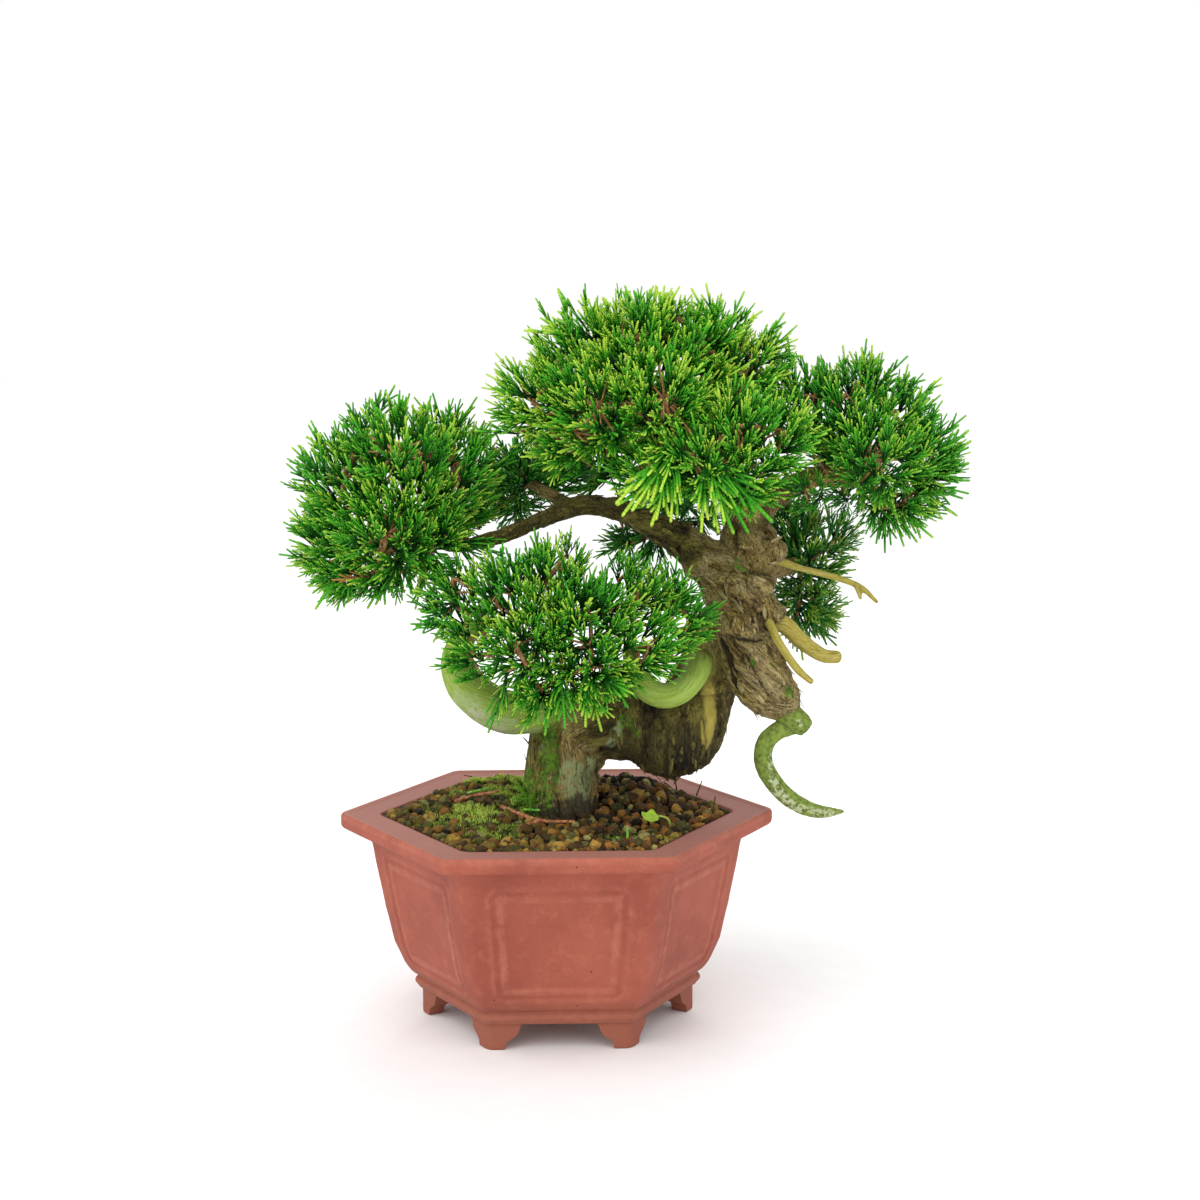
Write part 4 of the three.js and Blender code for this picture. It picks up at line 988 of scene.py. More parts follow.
def makeFlakes(look):  # loose shreds of bark that lift off the trunk
    flakes, random = wood["flakes"], np.random.default_rng(88)
    spots, normals = pointsOf(trunkPiece)
    kept = {name: markOf(trunkPiece, name) for name in ("rough", "olive", "shade", "moss")}
    fibre = markOf(trunkPiece, "fibre", 3)
    chance = (kept["rough"] > 0.8) * (markOf(trunkPiece, "bareWood") < 0.1)
    chance = chance * (spots[:, 2] > flakes["lowest"])
    left, right, top = flakes["elbow"]
    for x, y, z, spread, more in flakes["crowds"]:
        chance = chance + chance * more * (np.linalg.norm(spots - (x, y, z), axis=1) < spread)
    chosen = random.choice(len(spots), flakes["count"], replace=False, p=chance / chance.sum())
    middles = np.concatenate([path["centres"] for path in limbPaths.values()])
    ways = np.concatenate([path["tangents"] for path in limbPaths.values()])
    parts, marks = [], {name: [] for name in (*kept, "height", "fibre")}
    for spot, normal, index in zip(spots[chosen], normals[chosen], chosen):
        along = ways[closest(middles, spot)]
        if left < spot[0] < right and spot[2] < top:
            along = np.array([0.05, 0, -1.0])
        along = along * (-1 if along[2] > 0 and random.random() < 0.8 else 1)
        along = unit(along - normal * (along @ normal) + random.normal(0, 0.12, 3))
        across = unit(np.cross(normal, along))
        length, width, lift = [random.uniform(*flakes[key]) for key in ("length", "width", "lift")]
        rings = []
        for share, wide, high in flakes["rings"]:
            centre = spot + along * length * (share - 0.35) + normal * lift * high
            side, up = across * width * wide / 2, normal * flakes["thick"] / 2
            rings.append(np.array([centre - side, centre - up, centre + side, centre + up]))
        parts.append(lofted(rings))
        count = len(parts[-1][0])
        for name in kept:
            marks[name] += [kept[name][index]] * count
        marks["height"] += [1.1] * count
        marks["fibre"] += [fibre[index] + np.array([i % 4 * 0.6, 0, i // 4 * 2.0]) for i in range(count)]
    piece = makePiece("barkFlakes", *gathered(parts), [look], marks, smooth=False)
    outwardFaces(piece)
    place(piece, "bark_and_deadwood", "trunk")


def makeWood():
    look = barkLook()
    stems = [name for name in wood["limbs"] if name not in wood["stubs"]]
    trunkPiece = fusedLimbs("trunkWood", stems, wood["burrs"], wood["voxel"], wood["softening"])
    dressWood(trunkPiece, stems, look, 0)
    stubPiece = fusedLimbs("bareStubs", wood["stubs"], [], wood["stubVoxel"], wood["stubSoftening"])
    dressWood(stubPiece, wood["stubs"], look, 50)
    for piece in (trunkPiece, stubPiece):
        place(piece, "bark_and_deadwood", "trunk")
    return trunkPiece, look


trunkPiece, bark = makeWood()
makeFlakes(bark)


# Scattering, by one geometry tree with named inputs
def scatterTree():
    tree = bpy.data.node_groups.new("scatterOnPlaces", "GeometryNodeTree")
    face = tree.interface
    face.new_socket("Geometry", in_out="OUTPUT", socket_type="NodeSocketGeometry")
    wanted = (("Geometry", "NodeSocketGeometry", None), ("Kinds", "NodeSocketCollection", None),
              ("Look", "NodeSocketMaterial", None), ("Spin", "NodeSocketFloat", 2 * math.pi),
              ("Size", "NodeSocketFloat", 1.0), ("Seed", "NodeSocketInt", 1))
    for name, kind, value in wanted:
        socket = face.new_socket(name, in_out="INPUT", socket_type=kind)
        if value is not None:
            socket.default_value = value
    graph = Graph(tree)
    given = tree.nodes.new("NodeGroupInput")
    inputs = {socket.name: Wire(graph, socket) for socket in given.outputs if socket.name}
    kinds = graph.add("GeometryNodeCollectionInfo", {}, {
        "Collection": inputs["Kinds"], "Separate Children": True, "Reset Children": True})

    def random(kind, low, high, step):
        index, out = {"FLOAT": (2, 1), "INT": (4, 2)}[kind]
        return graph.add("FunctionNodeRandomValue", {"data_type": kind},
                         {index: low, index + 1: high, 8: inputs["Seed"] + step}, out)

    aim = graph.add("GeometryNodeInputNamedAttribute", {"data_type": "FLOAT_VECTOR"}, {"Name": "aim"})
    size = graph.add("GeometryNodeInputNamedAttribute", {"data_type": "FLOAT"}, {"Name": "size"})
    stand = graph.add("FunctionNodeAlignRotationToVector", {"axis": "Z"}, {"Vector": aim})
    angle = random("FLOAT", 0.0, inputs["Spin"], 1)
    turn = graph.add("FunctionNodeAxisAngleToRotation", {}, {"Axis": (0, 0, 1), "Angle": angle})
    turned = graph.add("FunctionNodeRotateRotation", {"rotation_space": "LOCAL"},
                       {"Rotation": stand, "Rotate By": turn})
    placed = graph.add("GeometryNodeInstanceOnPoints", {}, {
        "Points": inputs["Geometry"], "Instance": kinds, "Pick Instance": True,
        "Instance Index": random("INT", 0, 100, 4), "Rotation": turned, "Scale": size * inputs["Size"]})
    toned = graph.add("GeometryNodeStoreNamedAttribute", {"data_type": "FLOAT", "domain": "INSTANCE"}, {
        "Geometry": placed, "Name": "tone", "Value": random("FLOAT", 0.0, 1.0, 5)})
    real = graph.add("GeometryNodeRealizeInstances", {}, {"Geometry": toned})
    done = graph.add("GeometryNodeSetMaterial", {}, {"Geometry": real, "Material": inputs["Look"]})
    out = tree.nodes.new("NodeGroupOutput")
    graph.feed(out.inputs[0], done)
    return tree


scatter = scatterTree()


def kindsOf(name, meshes):  # a hidden collection of the shapes that are strewn about
    collection = bpy.data.collections.new(name)
    for i, (points, faces, marks) in enumerate(meshes):
        piece = makePiece(f"{name}{i}", points, faces, [], marks)
        piece.data.transform(Matrix.Translation(-Vector(potAxis)))
        bpy.context.collection.objects.unlink(piece)
        collection.objects.link(piece)
    return collection


def strewn(name, places, marks, kinds, look, seed):  # copies of the kinds on the places, as one plain mesh
    piece = makePiece(name + "Places", places, [], [], marks)
    modifier = piece.modifiers.new("scatter", "NODES")
    modifier.node_group = scatter
    values = {"Kinds": kinds, "Look": look, "Seed": seed}
    for item in scatter.interface.items_tree:
        if item.in_out == "INPUT" and item.name in values:
            modifier[item.identifier] = values[item.name]
    return settled(piece, name)


def dropKinds(collection):
    for piece in list(collection.objects):
        mesh = piece.data
        bpy.data.objects.remove(piece)
        bpy.data.meshes.remove(mesh)
    bpy.data.collections.remove(collection)


# The foliage
foliage = {
    "pads": {  # clusters: x, y, z, radius
        "foliage_left": [(-104, 0, 275, 28), (-76, -14, 288, 29), (-51, 6, 281, 27), (-111, 4, 243, 25),
                         (-82, -24, 249, 28), (-103, -4, 228, 19), (-58, -13, 246, 20), (-79, 38, 259, 28),
                         (-46, 34, 258, 22), (-110, -8, 226, 15), (-90, -14, 228, 16), (-66, -12, 231, 13),
                         (-96, 2, 296, 14), (-50, 6, 295, 15)],
        "foliage_middle_left": [(-18, 34, 274, 21), (-22, 50, 258, 20), (4, 50, 277, 21)],
        "foliage_crown": [(-11, -6, 312, 25), (12, 4, 335, 27), (42, 0, 342, 28), (73, 6, 340, 26),
                          (21, -32, 309, 28), (52, -34, 314, 28), (94, 2, 324, 25), (2, -16, 292, 20),
                          (49, 38, 330, 28), (16, 38, 312, 26), (80, 40, 322, 26), (107, 6, 334, 15),
                          (60, 2, 352, 14), (22, 0, 346, 14)],
        "foliage_front_right": [(64, -46, 288, 22), (86, -36, 301, 24), (110, -24, 298, 22),
                                (92, -38, 274, 20), (40, -36, 281, 19)],
        "foliage_right": [(141, 4, 309, 24), (120, 10, 313, 22), (167, 10, 306, 24), (184, 4, 287, 22),
                          (158, -20, 283, 24), (176, 8, 262, 20), (149, 32, 280, 23), (148, 30, 260, 13),
                          (122, -12, 268, 14), (191, 4, 278, 17), (174, -4, 259, 15), (160, -4, 258, 14),
                          (151, 6, 320, 17)],
        "foliage_back_right": [(134, 46, 226, 22), (128, 50, 203, 20), (149, 52, 238, 16), (122, 62, 245, 21),
                               (138, 50, 198, 18), (124, 48, 190, 13)],
        "foliage_front_low": [(-51, -28, 214, 20), (-27, -36, 222, 23), (-4, -32, 228, 22),
                              (-20, -48, 197, 23), (16, -44, 211, 24), (40, -33, 219, 20),
                              (16, -52, 188, 22), (44, -46, 197, 22), (65, -34, 206, 17),
                              (-8, -50, 176, 18), (-42, -44, 192, 17), (34, -30, 230, 14),
                              (59, -30, 217, 13), (-50, -34, 228, 14), (4, -26, 238, 13)],
        "foliage_back": [(46, 84, 296, 28), (89, 86, 290, 26), (14, 80, 278, 25), (68, 94, 264, 24),
                         (52, 64, 237, 21), (36, 60, 233, 15), (78, 48, 246, 14)],
    },
    "hangers": {  # single sprigs that stand out or hang before the wood: a root, then the tips of its fan
        "foliage_left": [
            [(-100, -8, 238), (-123, -10, 222), (-118, -14, 210), (-109, -6, 209), (-103, -18, 215)],
            [(-77, -10, 238), (-92, -14, 210), (-87, -6, 210), (-80, -16, 217), (-77, -8, 214)],
            [(-62, -10, 238), (-71, -12, 210), (-67, -4, 215), (-60, -14, 221), (-55, -8, 222)],
            [(-93, 4, 295), (-107, 6, 305), (-102, -4, 312), (-94, 8, 313), (-85, 0, 318), (-78, 6, 319)],
            [(-53, 6, 292), (-69, 4, 314), (-61, -2, 315), (-53, 8, 312), (-46, 2, 312), (-38, 8, 313)],
            [(-50, -14, 244), (-25, -16, 237), (-31, -14, 231), (-38, -16, 227), (-24, -14, 244),
             (-46, -14, 224)]],
        "foliage_right": [
            [(176, 2, 272), (207, 4, 294), (208, -2, 288), (208, 6, 279), (207, 0, 271), (205, -6, 265),
             (203, 6, 259), (199, 0, 251), (192, -4, 252)],
            [(164, -2, 264), (186, -4, 241), (180, 4, 239), (174, -6, 239), (169, 0, 239), (163, -8, 236),
             (159, 2, 239), (152, -6, 246)],
            [(157, 6, 314), (146, 8, 335), (151, 2, 337), (158, 8, 338), (162, 2, 334), (175, 6, 333),
             (184, 2, 320)]],
        "foliage_back_right": [
            [(126, 50, 201), (131, 52, 171), (128, 46, 177), (137, 54, 176), (142, 50, 182), (147, 46, 180),
             (149, 52, 188), (124, 48, 178), (150, 50, 196)]],
        "foliage_crown": [
            [(20, -2, 341), (13, -4, 364), (1, 2, 355), (-15, -2, 347), (21, 4, 363), (-7, -8, 352)],
            [(48, 0, 342), (37, -2, 366), (44, 4, 363), (53, -4, 365), (60, 0, 368), (30, 4, 361)],
            [(82, 2, 340), (72, 0, 368), (84, 4, 361), (93, -2, 365), (101, 2, 357), (66, -6, 366)],
            [(98, 4, 332), (115, 2, 353), (108, 6, 349), (121, 4, 340), (122, -4, 333)],
            [(56.6, -50, 293), (41, -60, 291.5), (39, -60, 283.5), (26, -58, 268), (28.4, -56, 262),
             (35.3, -62, 262.5), (43.8, -60, 260), (47.7, -58, 255), (54, -56, 257), (57, -52, 259),
             (68.4, -58, 283), (64.7, -64, 282), (50, -66, 276.5)],
            [(70.7, -52, 288), (65, -60, 264.5), (69, -56, 252), (75.5, -54, 251.4), (81.4, -52, 250),
             (82, -60, 258.7), (92, -50, 252), (104, -46, 258), (100, -52, 273), (86, -60, 266)]],
        "foliage_front_low": [
            [(-47, -32, 217), (-70, -34, 223), (-67, -28, 211), (-69, -36, 202), (-61, -30, 197),
             (-67, -30, 232), (-57, -34, 235)],
            [(45, -32, 214), (31, -30, 240), (44, -34, 239), (53, -28, 231), (62, -34, 227), (70, -30, 221),
             (75, -34, 214), (76, -38, 206), (68, -36, 193)],
            [(56, -30, 213), (48, -30, 234), (53, -26, 237), (58, -32, 238), (64, -30, 234), (69, -30, 228),
             (71, -32, 220)],
            [(1.2, -54, 187), (-8, -60, 156), (-2.8, -58, 162), (4.3, -62, 159), (9.6, -60, 162)],
            [(13, -54, 189), (13.8, -62, 160), (19.6, -60, 157), (16.2, -62, 166)],
            [(22.7, -52, 187), (22.4, -60, 166.6), (26.3, -58, 170.5), (33.5, -58, 168), (37.4, -56, 172)],
            [(-10.7, -52, 187), (-20, -58, 164), (-11.4, -60, 161), (-16, -60, 167.4)],
            [(-24, -48, 184.6), (-32, -54, 155.6), (-26.7, -56, 162)]],
    },
    "carriers": {"foliage_left": ["upper"], "foliage_middle_left": ["toMiddleLeft"],
                 "foliage_crown": ["leader"], "foliage_front_right": ["toFrontRight"],
                 "foliage_right": ["toRight"], "foliage_back_right": ["toBackRight"],
                 "foliage_front_low": ["leftCurl", "rightCurl"], "foliage_back": ["toBack"]},
    # how bluish each pad is (partly the leaves' own tint, partly painted shade on the pads at the back), how
    # much young growth it has, and how many of its sprigs have died back
    "mood": {"foliage_left": (0.25, 0.05, 0.003), "foliage_middle_left": (0.7, 0.0, 0.004),
             "foliage_crown": (0.12, 0.15, 0.002), "foliage_front_right": (0.15, 0.1, 0.003),
             "foliage_right": (0.35, 0.02, 0.002), "foliage_back_right": (1.0, 0.2, 0.002),
             "foliage_front_low": (0.25, 0.05, 0.002), "foliage_back": (0.5, 0.0, 0.003)},
    "sprigLength": 25.0, "scaleLength": 1.3, "cordRadius": 0.66, "sideCords": 6, "kinds": 10,
    "kneeFrom": 9,  # cords longer than this bend half way
    "sideLean": (0.38, 0.64), "sideLength": (0.7, 1.2), "cordTaper": 0.12,
    # radius of the twigs at their foot and tip
    "branchThick": (1.4, 1.0), "twigThick": (0.72, 0.5), "hangerThick": (0.85, 0.6),
    "crowding": 0.175,  # sprigs to each square millimetre of a cluster's radius squared
    "bridge": 0.8,  # size of the clusters that fill the clefts between neighbours
    "cleft": (0.62, 1.05),  # how far apart those neighbours stand, as a share of their radii together
    "underside": (-0.45, 0.3),  # below this slope, the share of sprigs that are left out
    "reach": (0.72, 1.14),  # how far the tips come, as a share of the radius
    "stray": (0.08, 1.16, 1.34),  # share of sprigs that stand out further, and how far
    "follow": 0.5,  # how far the sprigs point away from the whole pad's root, not from their own cluster
    "lift": 0.35,  # how much they turn up to the light
    "sizes": (0.4, 1.35),  # least and greatest size of a sprig, as a share of its full length
    "boxGap": 1.6,  # how far the tips stay inside the box of the solids
    # how far the sprigs stay off the wood, at shares of their length
    "woodGaps": [(0.4, 1.0), (0.7, 1.8), (1.0, 1.6)],
    "tuftRoom": 8.5,  # roots closer than this are drawn together at one twig end
    "hidden": 0.7,  # share of a neighbour's radius inside which a tip is left out
    # the bluish green is partly the leaves' own tint and partly painted shade
    "colours": {"deep": "074203", "leaf": "2e9c12", "fresh": "5cc41e", "tip": "caf24a", "blue": "1c6a38",
                "dry": "b9804c", "twig": "94643a", "twigPale": "c69a64"},
}


def sprigShape(random):  # one shoot along +Z: its cords as lines, each with its thickness
    length, count = foliage["sprigLength"], foliage["sideCords"]
    bend = random.uniform(-0.09, 0.09, 2)

    def spine(t):
        return np.array([bend[0] * length * t * t, bend[1] * length * t * t, length * t])

    cords = [([spine(0), spine(0.5), spine(1)], 1.0)]
    side, plane = random.choice([-1, 1]), random.uniform(0.2, 0.6)
    for k in range(count):
        t = 0.16 + 0.54 * (k + random.uniform(0.1, 0.9)) / count
        start, lean, roll = spine(t), random.uniform(*foliage["sideLean"]), random.normal(0, plane)
        reach = length * (0.12 + 0.38 * (1 - t)) * random.uniform(*foliage["sideLength"])
        out = np.array([math.cos(roll) * side, math.sin(roll), 0])
        rise = np.array([0, 0, 1])
        knee = start + (out * math.sin(lean) + rise * math.cos(lean)) * reach * 0.5
        end = knee + (out * math.sin(lean * 0.6) + rise * math.cos(lean * 0.6)) * reach * 0.5
        cords.append(([start, knee, end] if reach > foliage["kneeFrom"] else [start, end], 0.92))
        side = -side
    return cords


def cordMesh(line, thick):  # three sides and a blunt end
    line = np.array(line, float)
    step = line[-1] - line[-2]
    radius = foliage["cordRadius"] * thick
    line = np.vstack([line[:-1], line[-1] - step * min(0.5 / np.linalg.norm(step), 0.4), line[-1]])
    run = runAlong(line)
    axis = (line[-1] - line[0]) / np.linalg.norm(line[-1] - line[0])
    side = np.cross(axis, [0.2, 1, 0.1])
    side /= np.linalg.norm(side)
    other = np.cross(axis, side)
    corners = [math.cos(a) * side + math.sin(a) * other for a in (0, 2 * math.pi / 3, 4 * math.pi / 3)]
    sizes = [radius * (1 - foliage["cordTaper"] * at / run[-1]) for at in run[:-1]] + [radius * 0.45]
    points = [centre + size * corner for centre, size in zip(line, sizes) for corner in corners]
    faces = [(2, 1, 0)]
    for i in range(len(line) - 1):
        faces += [(3 * i + j, 3 * i + (j + 1) % 3, 3 * i + 3 + (j + 1) % 3, 3 * i + 3 + j) for j in range(3)]
    last = 3 * (len(line) - 1)
    faces.append((last, last + 1, last + 2))
    return np.array(points), faces, [at for at in run for _ in corners]


def sprigMesh(random):
    parts, tips, along = [], [], []
    for line, thick in sprigShape(random):
        points, faces, run = cordMesh(line, thick)
        parts.append((points, faces))
        start = line[0][2] / foliage["sprigLength"] * 0.55
        tips += [start + (1 - start) * at / run[-1] for at in run]
        along += run
    points, faces = gathered(parts)
    return points, faces, {"tip": tips, "along": along}


goldenAngle = 2.399963


def evenWays(count, turn):  # directions spread evenly over a ball
    i = np.arange(count) + 0.5
    rise, angle = 1 - 2 * i / count, i * goldenAngle + turn
    flat = np.sqrt(1 - rise * rise)
    return np.stack([flat * np.cos(angle), flat * np.sin(angle), rise], 1)


limbSamples = np.concatenate([path["centres"] for path in limbPaths.values()])
limbThick = np.concatenate([path["radii"] for path in limbPaths.values()])
limbOwner = np.concatenate([[name] * len(path["radii"]) for name, path in limbPaths.items()])


def clearOfWood(points, margin, skip=()):  # which points are further than the margin from every limb
    keep = ~np.isin(limbOwner, list(skip))
    away = np.linalg.norm(points[:, None] - limbSamples[keep][None], axis=2) - limbThick[keep][None]
    return away.min(axis=1) > margin


def padBranches(name, random):  # branch lines from the limb's end to each cluster, nearest first
    clusters = [np.array(c, float) for c in foliage["pads"][name]]
    sockets = [np.array(wood["limbs"][limb][-1][:3], float) for limb in foliage["carriers"][name]]
    reached, waiting, lines = [sockets[0]], [*sockets[1:], *clusters], []
    while waiting:
        _, i, j = min((np.linalg.norm(a[:3] - b[:3]), i, j)
                      for i, a in enumerate(reached) for j, b in enumerate(waiting))
        start, end = reached[i][:3], waiting[j][:3]
        middle = (start + end) / 2 + random.uniform(-1, 1, 3) * np.linalg.norm(end - start) * 0.1
        lines.append((np.array([start, middle, end]), *foliage["branchThick"]))
        reached.append(waiting.pop(j))
    return clusters, lines


def bridges(clusters):  # smaller clusters where two neighbours leave a cleft
    found, (near, far) = [], foliage["cleft"]
    for i, a in enumerate(clusters):
        for b in clusters[i + 1:]:
            away = np.linalg.norm(a[:3] - b[:3])
            if near * (a[3] + b[3]) < away < far * (a[3] + b[3]):
                found.append(np.array([*((a + b) / 2)[:3], min(a[3], b[3]) * foliage["bridge"]]))
    return found


def padTips(clusters, random):  # tips spread over the clusters, with the cluster that each belongs to
    near, far = foliage["reach"]
    share, *strayReach = foliage["stray"]
    slope, bare = foliage["underside"]
    ends, owners = [], []
    everyone = clusters + bridges(clusters)
    for number, cluster in enumerate(everyone):
        centre, radius = cluster[:3], cluster[3]
        count = int(foliage["crowding"] * radius * radius)
        ways = unit(evenWays(count, random.uniform(0, 6)) + random.normal(0, 0.12, (count, 3)))
        for way in ways:
            reach = near + (far - near) * random.beta(2.4, 2.0)
            if random.random() < share:
                reach = random.uniform(*strayReach)
            end = centre + way * radius * reach
            others = [o for k, o in enumerate(everyone) if k != number]
            if way[2] < slope and random.random() < bare:
                continue
            if all(np.linalg.norm(o[:3] - end) > o[3] * foliage["hidden"] for o in others):
                ends.append(end)
                owners.append(centre)
    return np.array(ends), np.array(owners)


def drawnTogether(roots, room):  # each root moves to the middle of its neighbourhood
    middles = []
    for root in roots:
        if not middles or np.min(np.linalg.norm(np.array(middles) - root, axis=1)) > room:
            middles.append(root)
    middles = np.array(middles)
    for _ in range(3):
        mine = np.argmin(np.linalg.norm(roots[:, None] - middles[None], axis=2), axis=1)
        middles = np.array([roots[mine == k].mean(axis=0) if np.any(mine == k) else middles[k]
                            for k in range(len(middles))])
    return middles, mine


def padPlan(name, random):  # where the sprigs of a pad stand, and the twigs that carry them
    clusters, lines = padBranches(name, random)
    low, high = [(np.array(corner) - potAxis) / mm for corner in cadBox]
    heart = np.mean([wood["limbs"][limb][-1][:3] for limb in foliage["carriers"][name]], axis=0)
    ends, owners = padTips(clusters, random)
    aims = unit(ends - owners) * (1 - foliage["follow"]) + unit(ends - heart) * foliage["follow"]
    aims = unit(aims + [0, 0, foliage["lift"]] + random.normal(0, 0.1, aims.shape))
    for _ in range(8):
        out = np.any((ends < low + foliage["boxGap"]) | (ends > high - foliage["boxGap"]), axis=1)
        ends[out] += (owners[out] - ends[out]) * 0.06
    long = foliage["sprigLength"] * random.uniform(0.7, 1.02, (len(ends), 1))
    long = np.minimum(long, np.linalg.norm(ends - owners, axis=1)[:, None])
    tufts, mine = drawnTogether(ends - aims * long, foliage["tuftRoom"])
    roots = tufts[mine]
    aims = unit(ends - roots)
    sizes = np.linalg.norm(ends - roots, axis=1) / foliage["sprigLength"]
    roots = roots + aims * random.uniform(-0.6, 1.0, (len(roots), 1))
    keep = (sizes > foliage["sizes"][0]) & (sizes < foliage["sizes"][1])
    for share, margin in foliage["woodGaps"]:
        at = roots + (ends - roots) * share
        keep &= clearOfWood(at, margin, foliage["carriers"][name] if share < 0.5 else ())
    knots = np.concatenate([line for line, _, _ in lines])
    for tuft in tufts[np.unique(mine[keep])]:
        foot = knots[closest(knots, tuft)]
        middle = (foot + tuft) / 2 + random.uniform(-1, 1, 3) * 0.06 * np.linalg.norm(foot - tuft)
        lines.append((np.array([foot, middle, tuft]), *foliage["twigThick"]))
    dead = random.random(len(roots)) < foliage["mood"][name][2] * np.where(aims[:, 2] < 0.1, 3, 0.6)
    roots, aims, sizes, dead = roots[keep], aims[keep], sizes[keep], dead.astype(float)[keep]
    for root, *tips in foliage["hangers"].get(name, ()):
        reach = np.array(tips, float) - root
        roots = np.vstack([roots, np.full(reach.shape, root)])
        aims = np.vstack([aims, unit(reach)])
        sizes = np.append(sizes, np.linalg.norm(reach, axis=1) / foliage["sprigLength"])
        dead = np.append(dead, np.zeros(len(reach)))
        foot = knots[closest(knots, root)]
        lines.append((np.array([foot, (foot + root) / 2 + [0, 0, 3], root]), *foliage["hangerThick"]))
    return roots, aims, sizes, dead, lines


def leafLook():
    look, graph = newLook("scaleLeaves", Specular_IOR_Level=0.3)
    c = tints(foliage)
    tip, tone, along = graph.mark("tip"), graph.mark("tone"), graph.mark("along")
    at = graph.coords()
    cloud = graph.noise(at, 45.0, 2.0, 0.5)
    young = tip + (cloud - 0.5) * 0.9 + (tone - 0.5) * 0.35 + graph.mark("young")
    wave = along * (2 * math.pi / foliage["scaleLength"])
    scales = wave.calc("SINE", wave) * 0.5 + 0.5  # the overlaps of the scale leaves
    colour = graph.coats(
        c["deep"], ((tip + (tone - 0.5) * 0.5).between(-0.1, 0.75), c["leaf"]),
        (young.between(0.4, 0.9) * 0.85, c["fresh"]), (young.between(0.85, 1.2), c["tip"]),
        # the bluish coat: partly the leaves' own tint, partly painted shade on the pads at the back
        (graph.mark("blue") * 0.75, c["blue"]), (scales * 0.22, c["deep"]), (graph.mark("dry"), c["dry"]))
    graph.paint(colour, 0.5 + scales * 0.2, graph.bump(1 - scales, 0.0003, 0.7))
    return look


def twigLook():
    look, graph = newLook("youngTwigs", Roughness=0.8)
    c = tints(foliage)
    blotch = graph.noise(graph.coords(), 320.0, 3.0, 0.6)
    colour = graph.mix(blotch.between(0.35, 0.7), c["twig"], c["twigPale"])
    graph.paint(colour, normal=graph.bump(blotch, 0.0005, 0.7))
    return look


def makeFoliage():
    random = np.random.default_rng(41)
    leaves, twigs = leafLook(), twigLook()
    kinds = kindsOf("sprig", [sprigMesh(random) for _ in range(foliage["kinds"])])
    total = 0
    for index, name in enumerate(foliage["pads"]):
        roots, aims, sizes, dry, lines = padPlan(name, random)
        blue = foliage["mood"][name][0] * random.uniform(0.5, 1.0, len(roots))
        young = np.full(len(roots), foliage["mood"][name][1])
        marks = {"aim": aims, "size": sizes, "dry": dry, "blue": blue, "young": young}
        sprigs = strewn(name.replace("foliage_", "sprigs_"), roots, marks, kinds, leaves, index * 10 + 3)
        place(sprigs, "scale_foliage", name)
        parts = []
        for line, thick, thin in lines:
            steps = np.linspace(0, 1, 4)[:, None]
            path = (1 - steps) ** 2 * line[0] + 2 * steps * (1 - steps) * line[1] + steps ** 2 * line[2]
            parts.append(tube(path, np.linspace(thick, thin, 4), 4))
        twig = makePiece(name.replace("foliage_", "twigs_"), *gathered(parts), [twigs])
        place(twig, "bark_and_deadwood", name)
        total += len(roots)
    dropKinds(kinds)
    print(total, "sprigs")


makeFoliage()


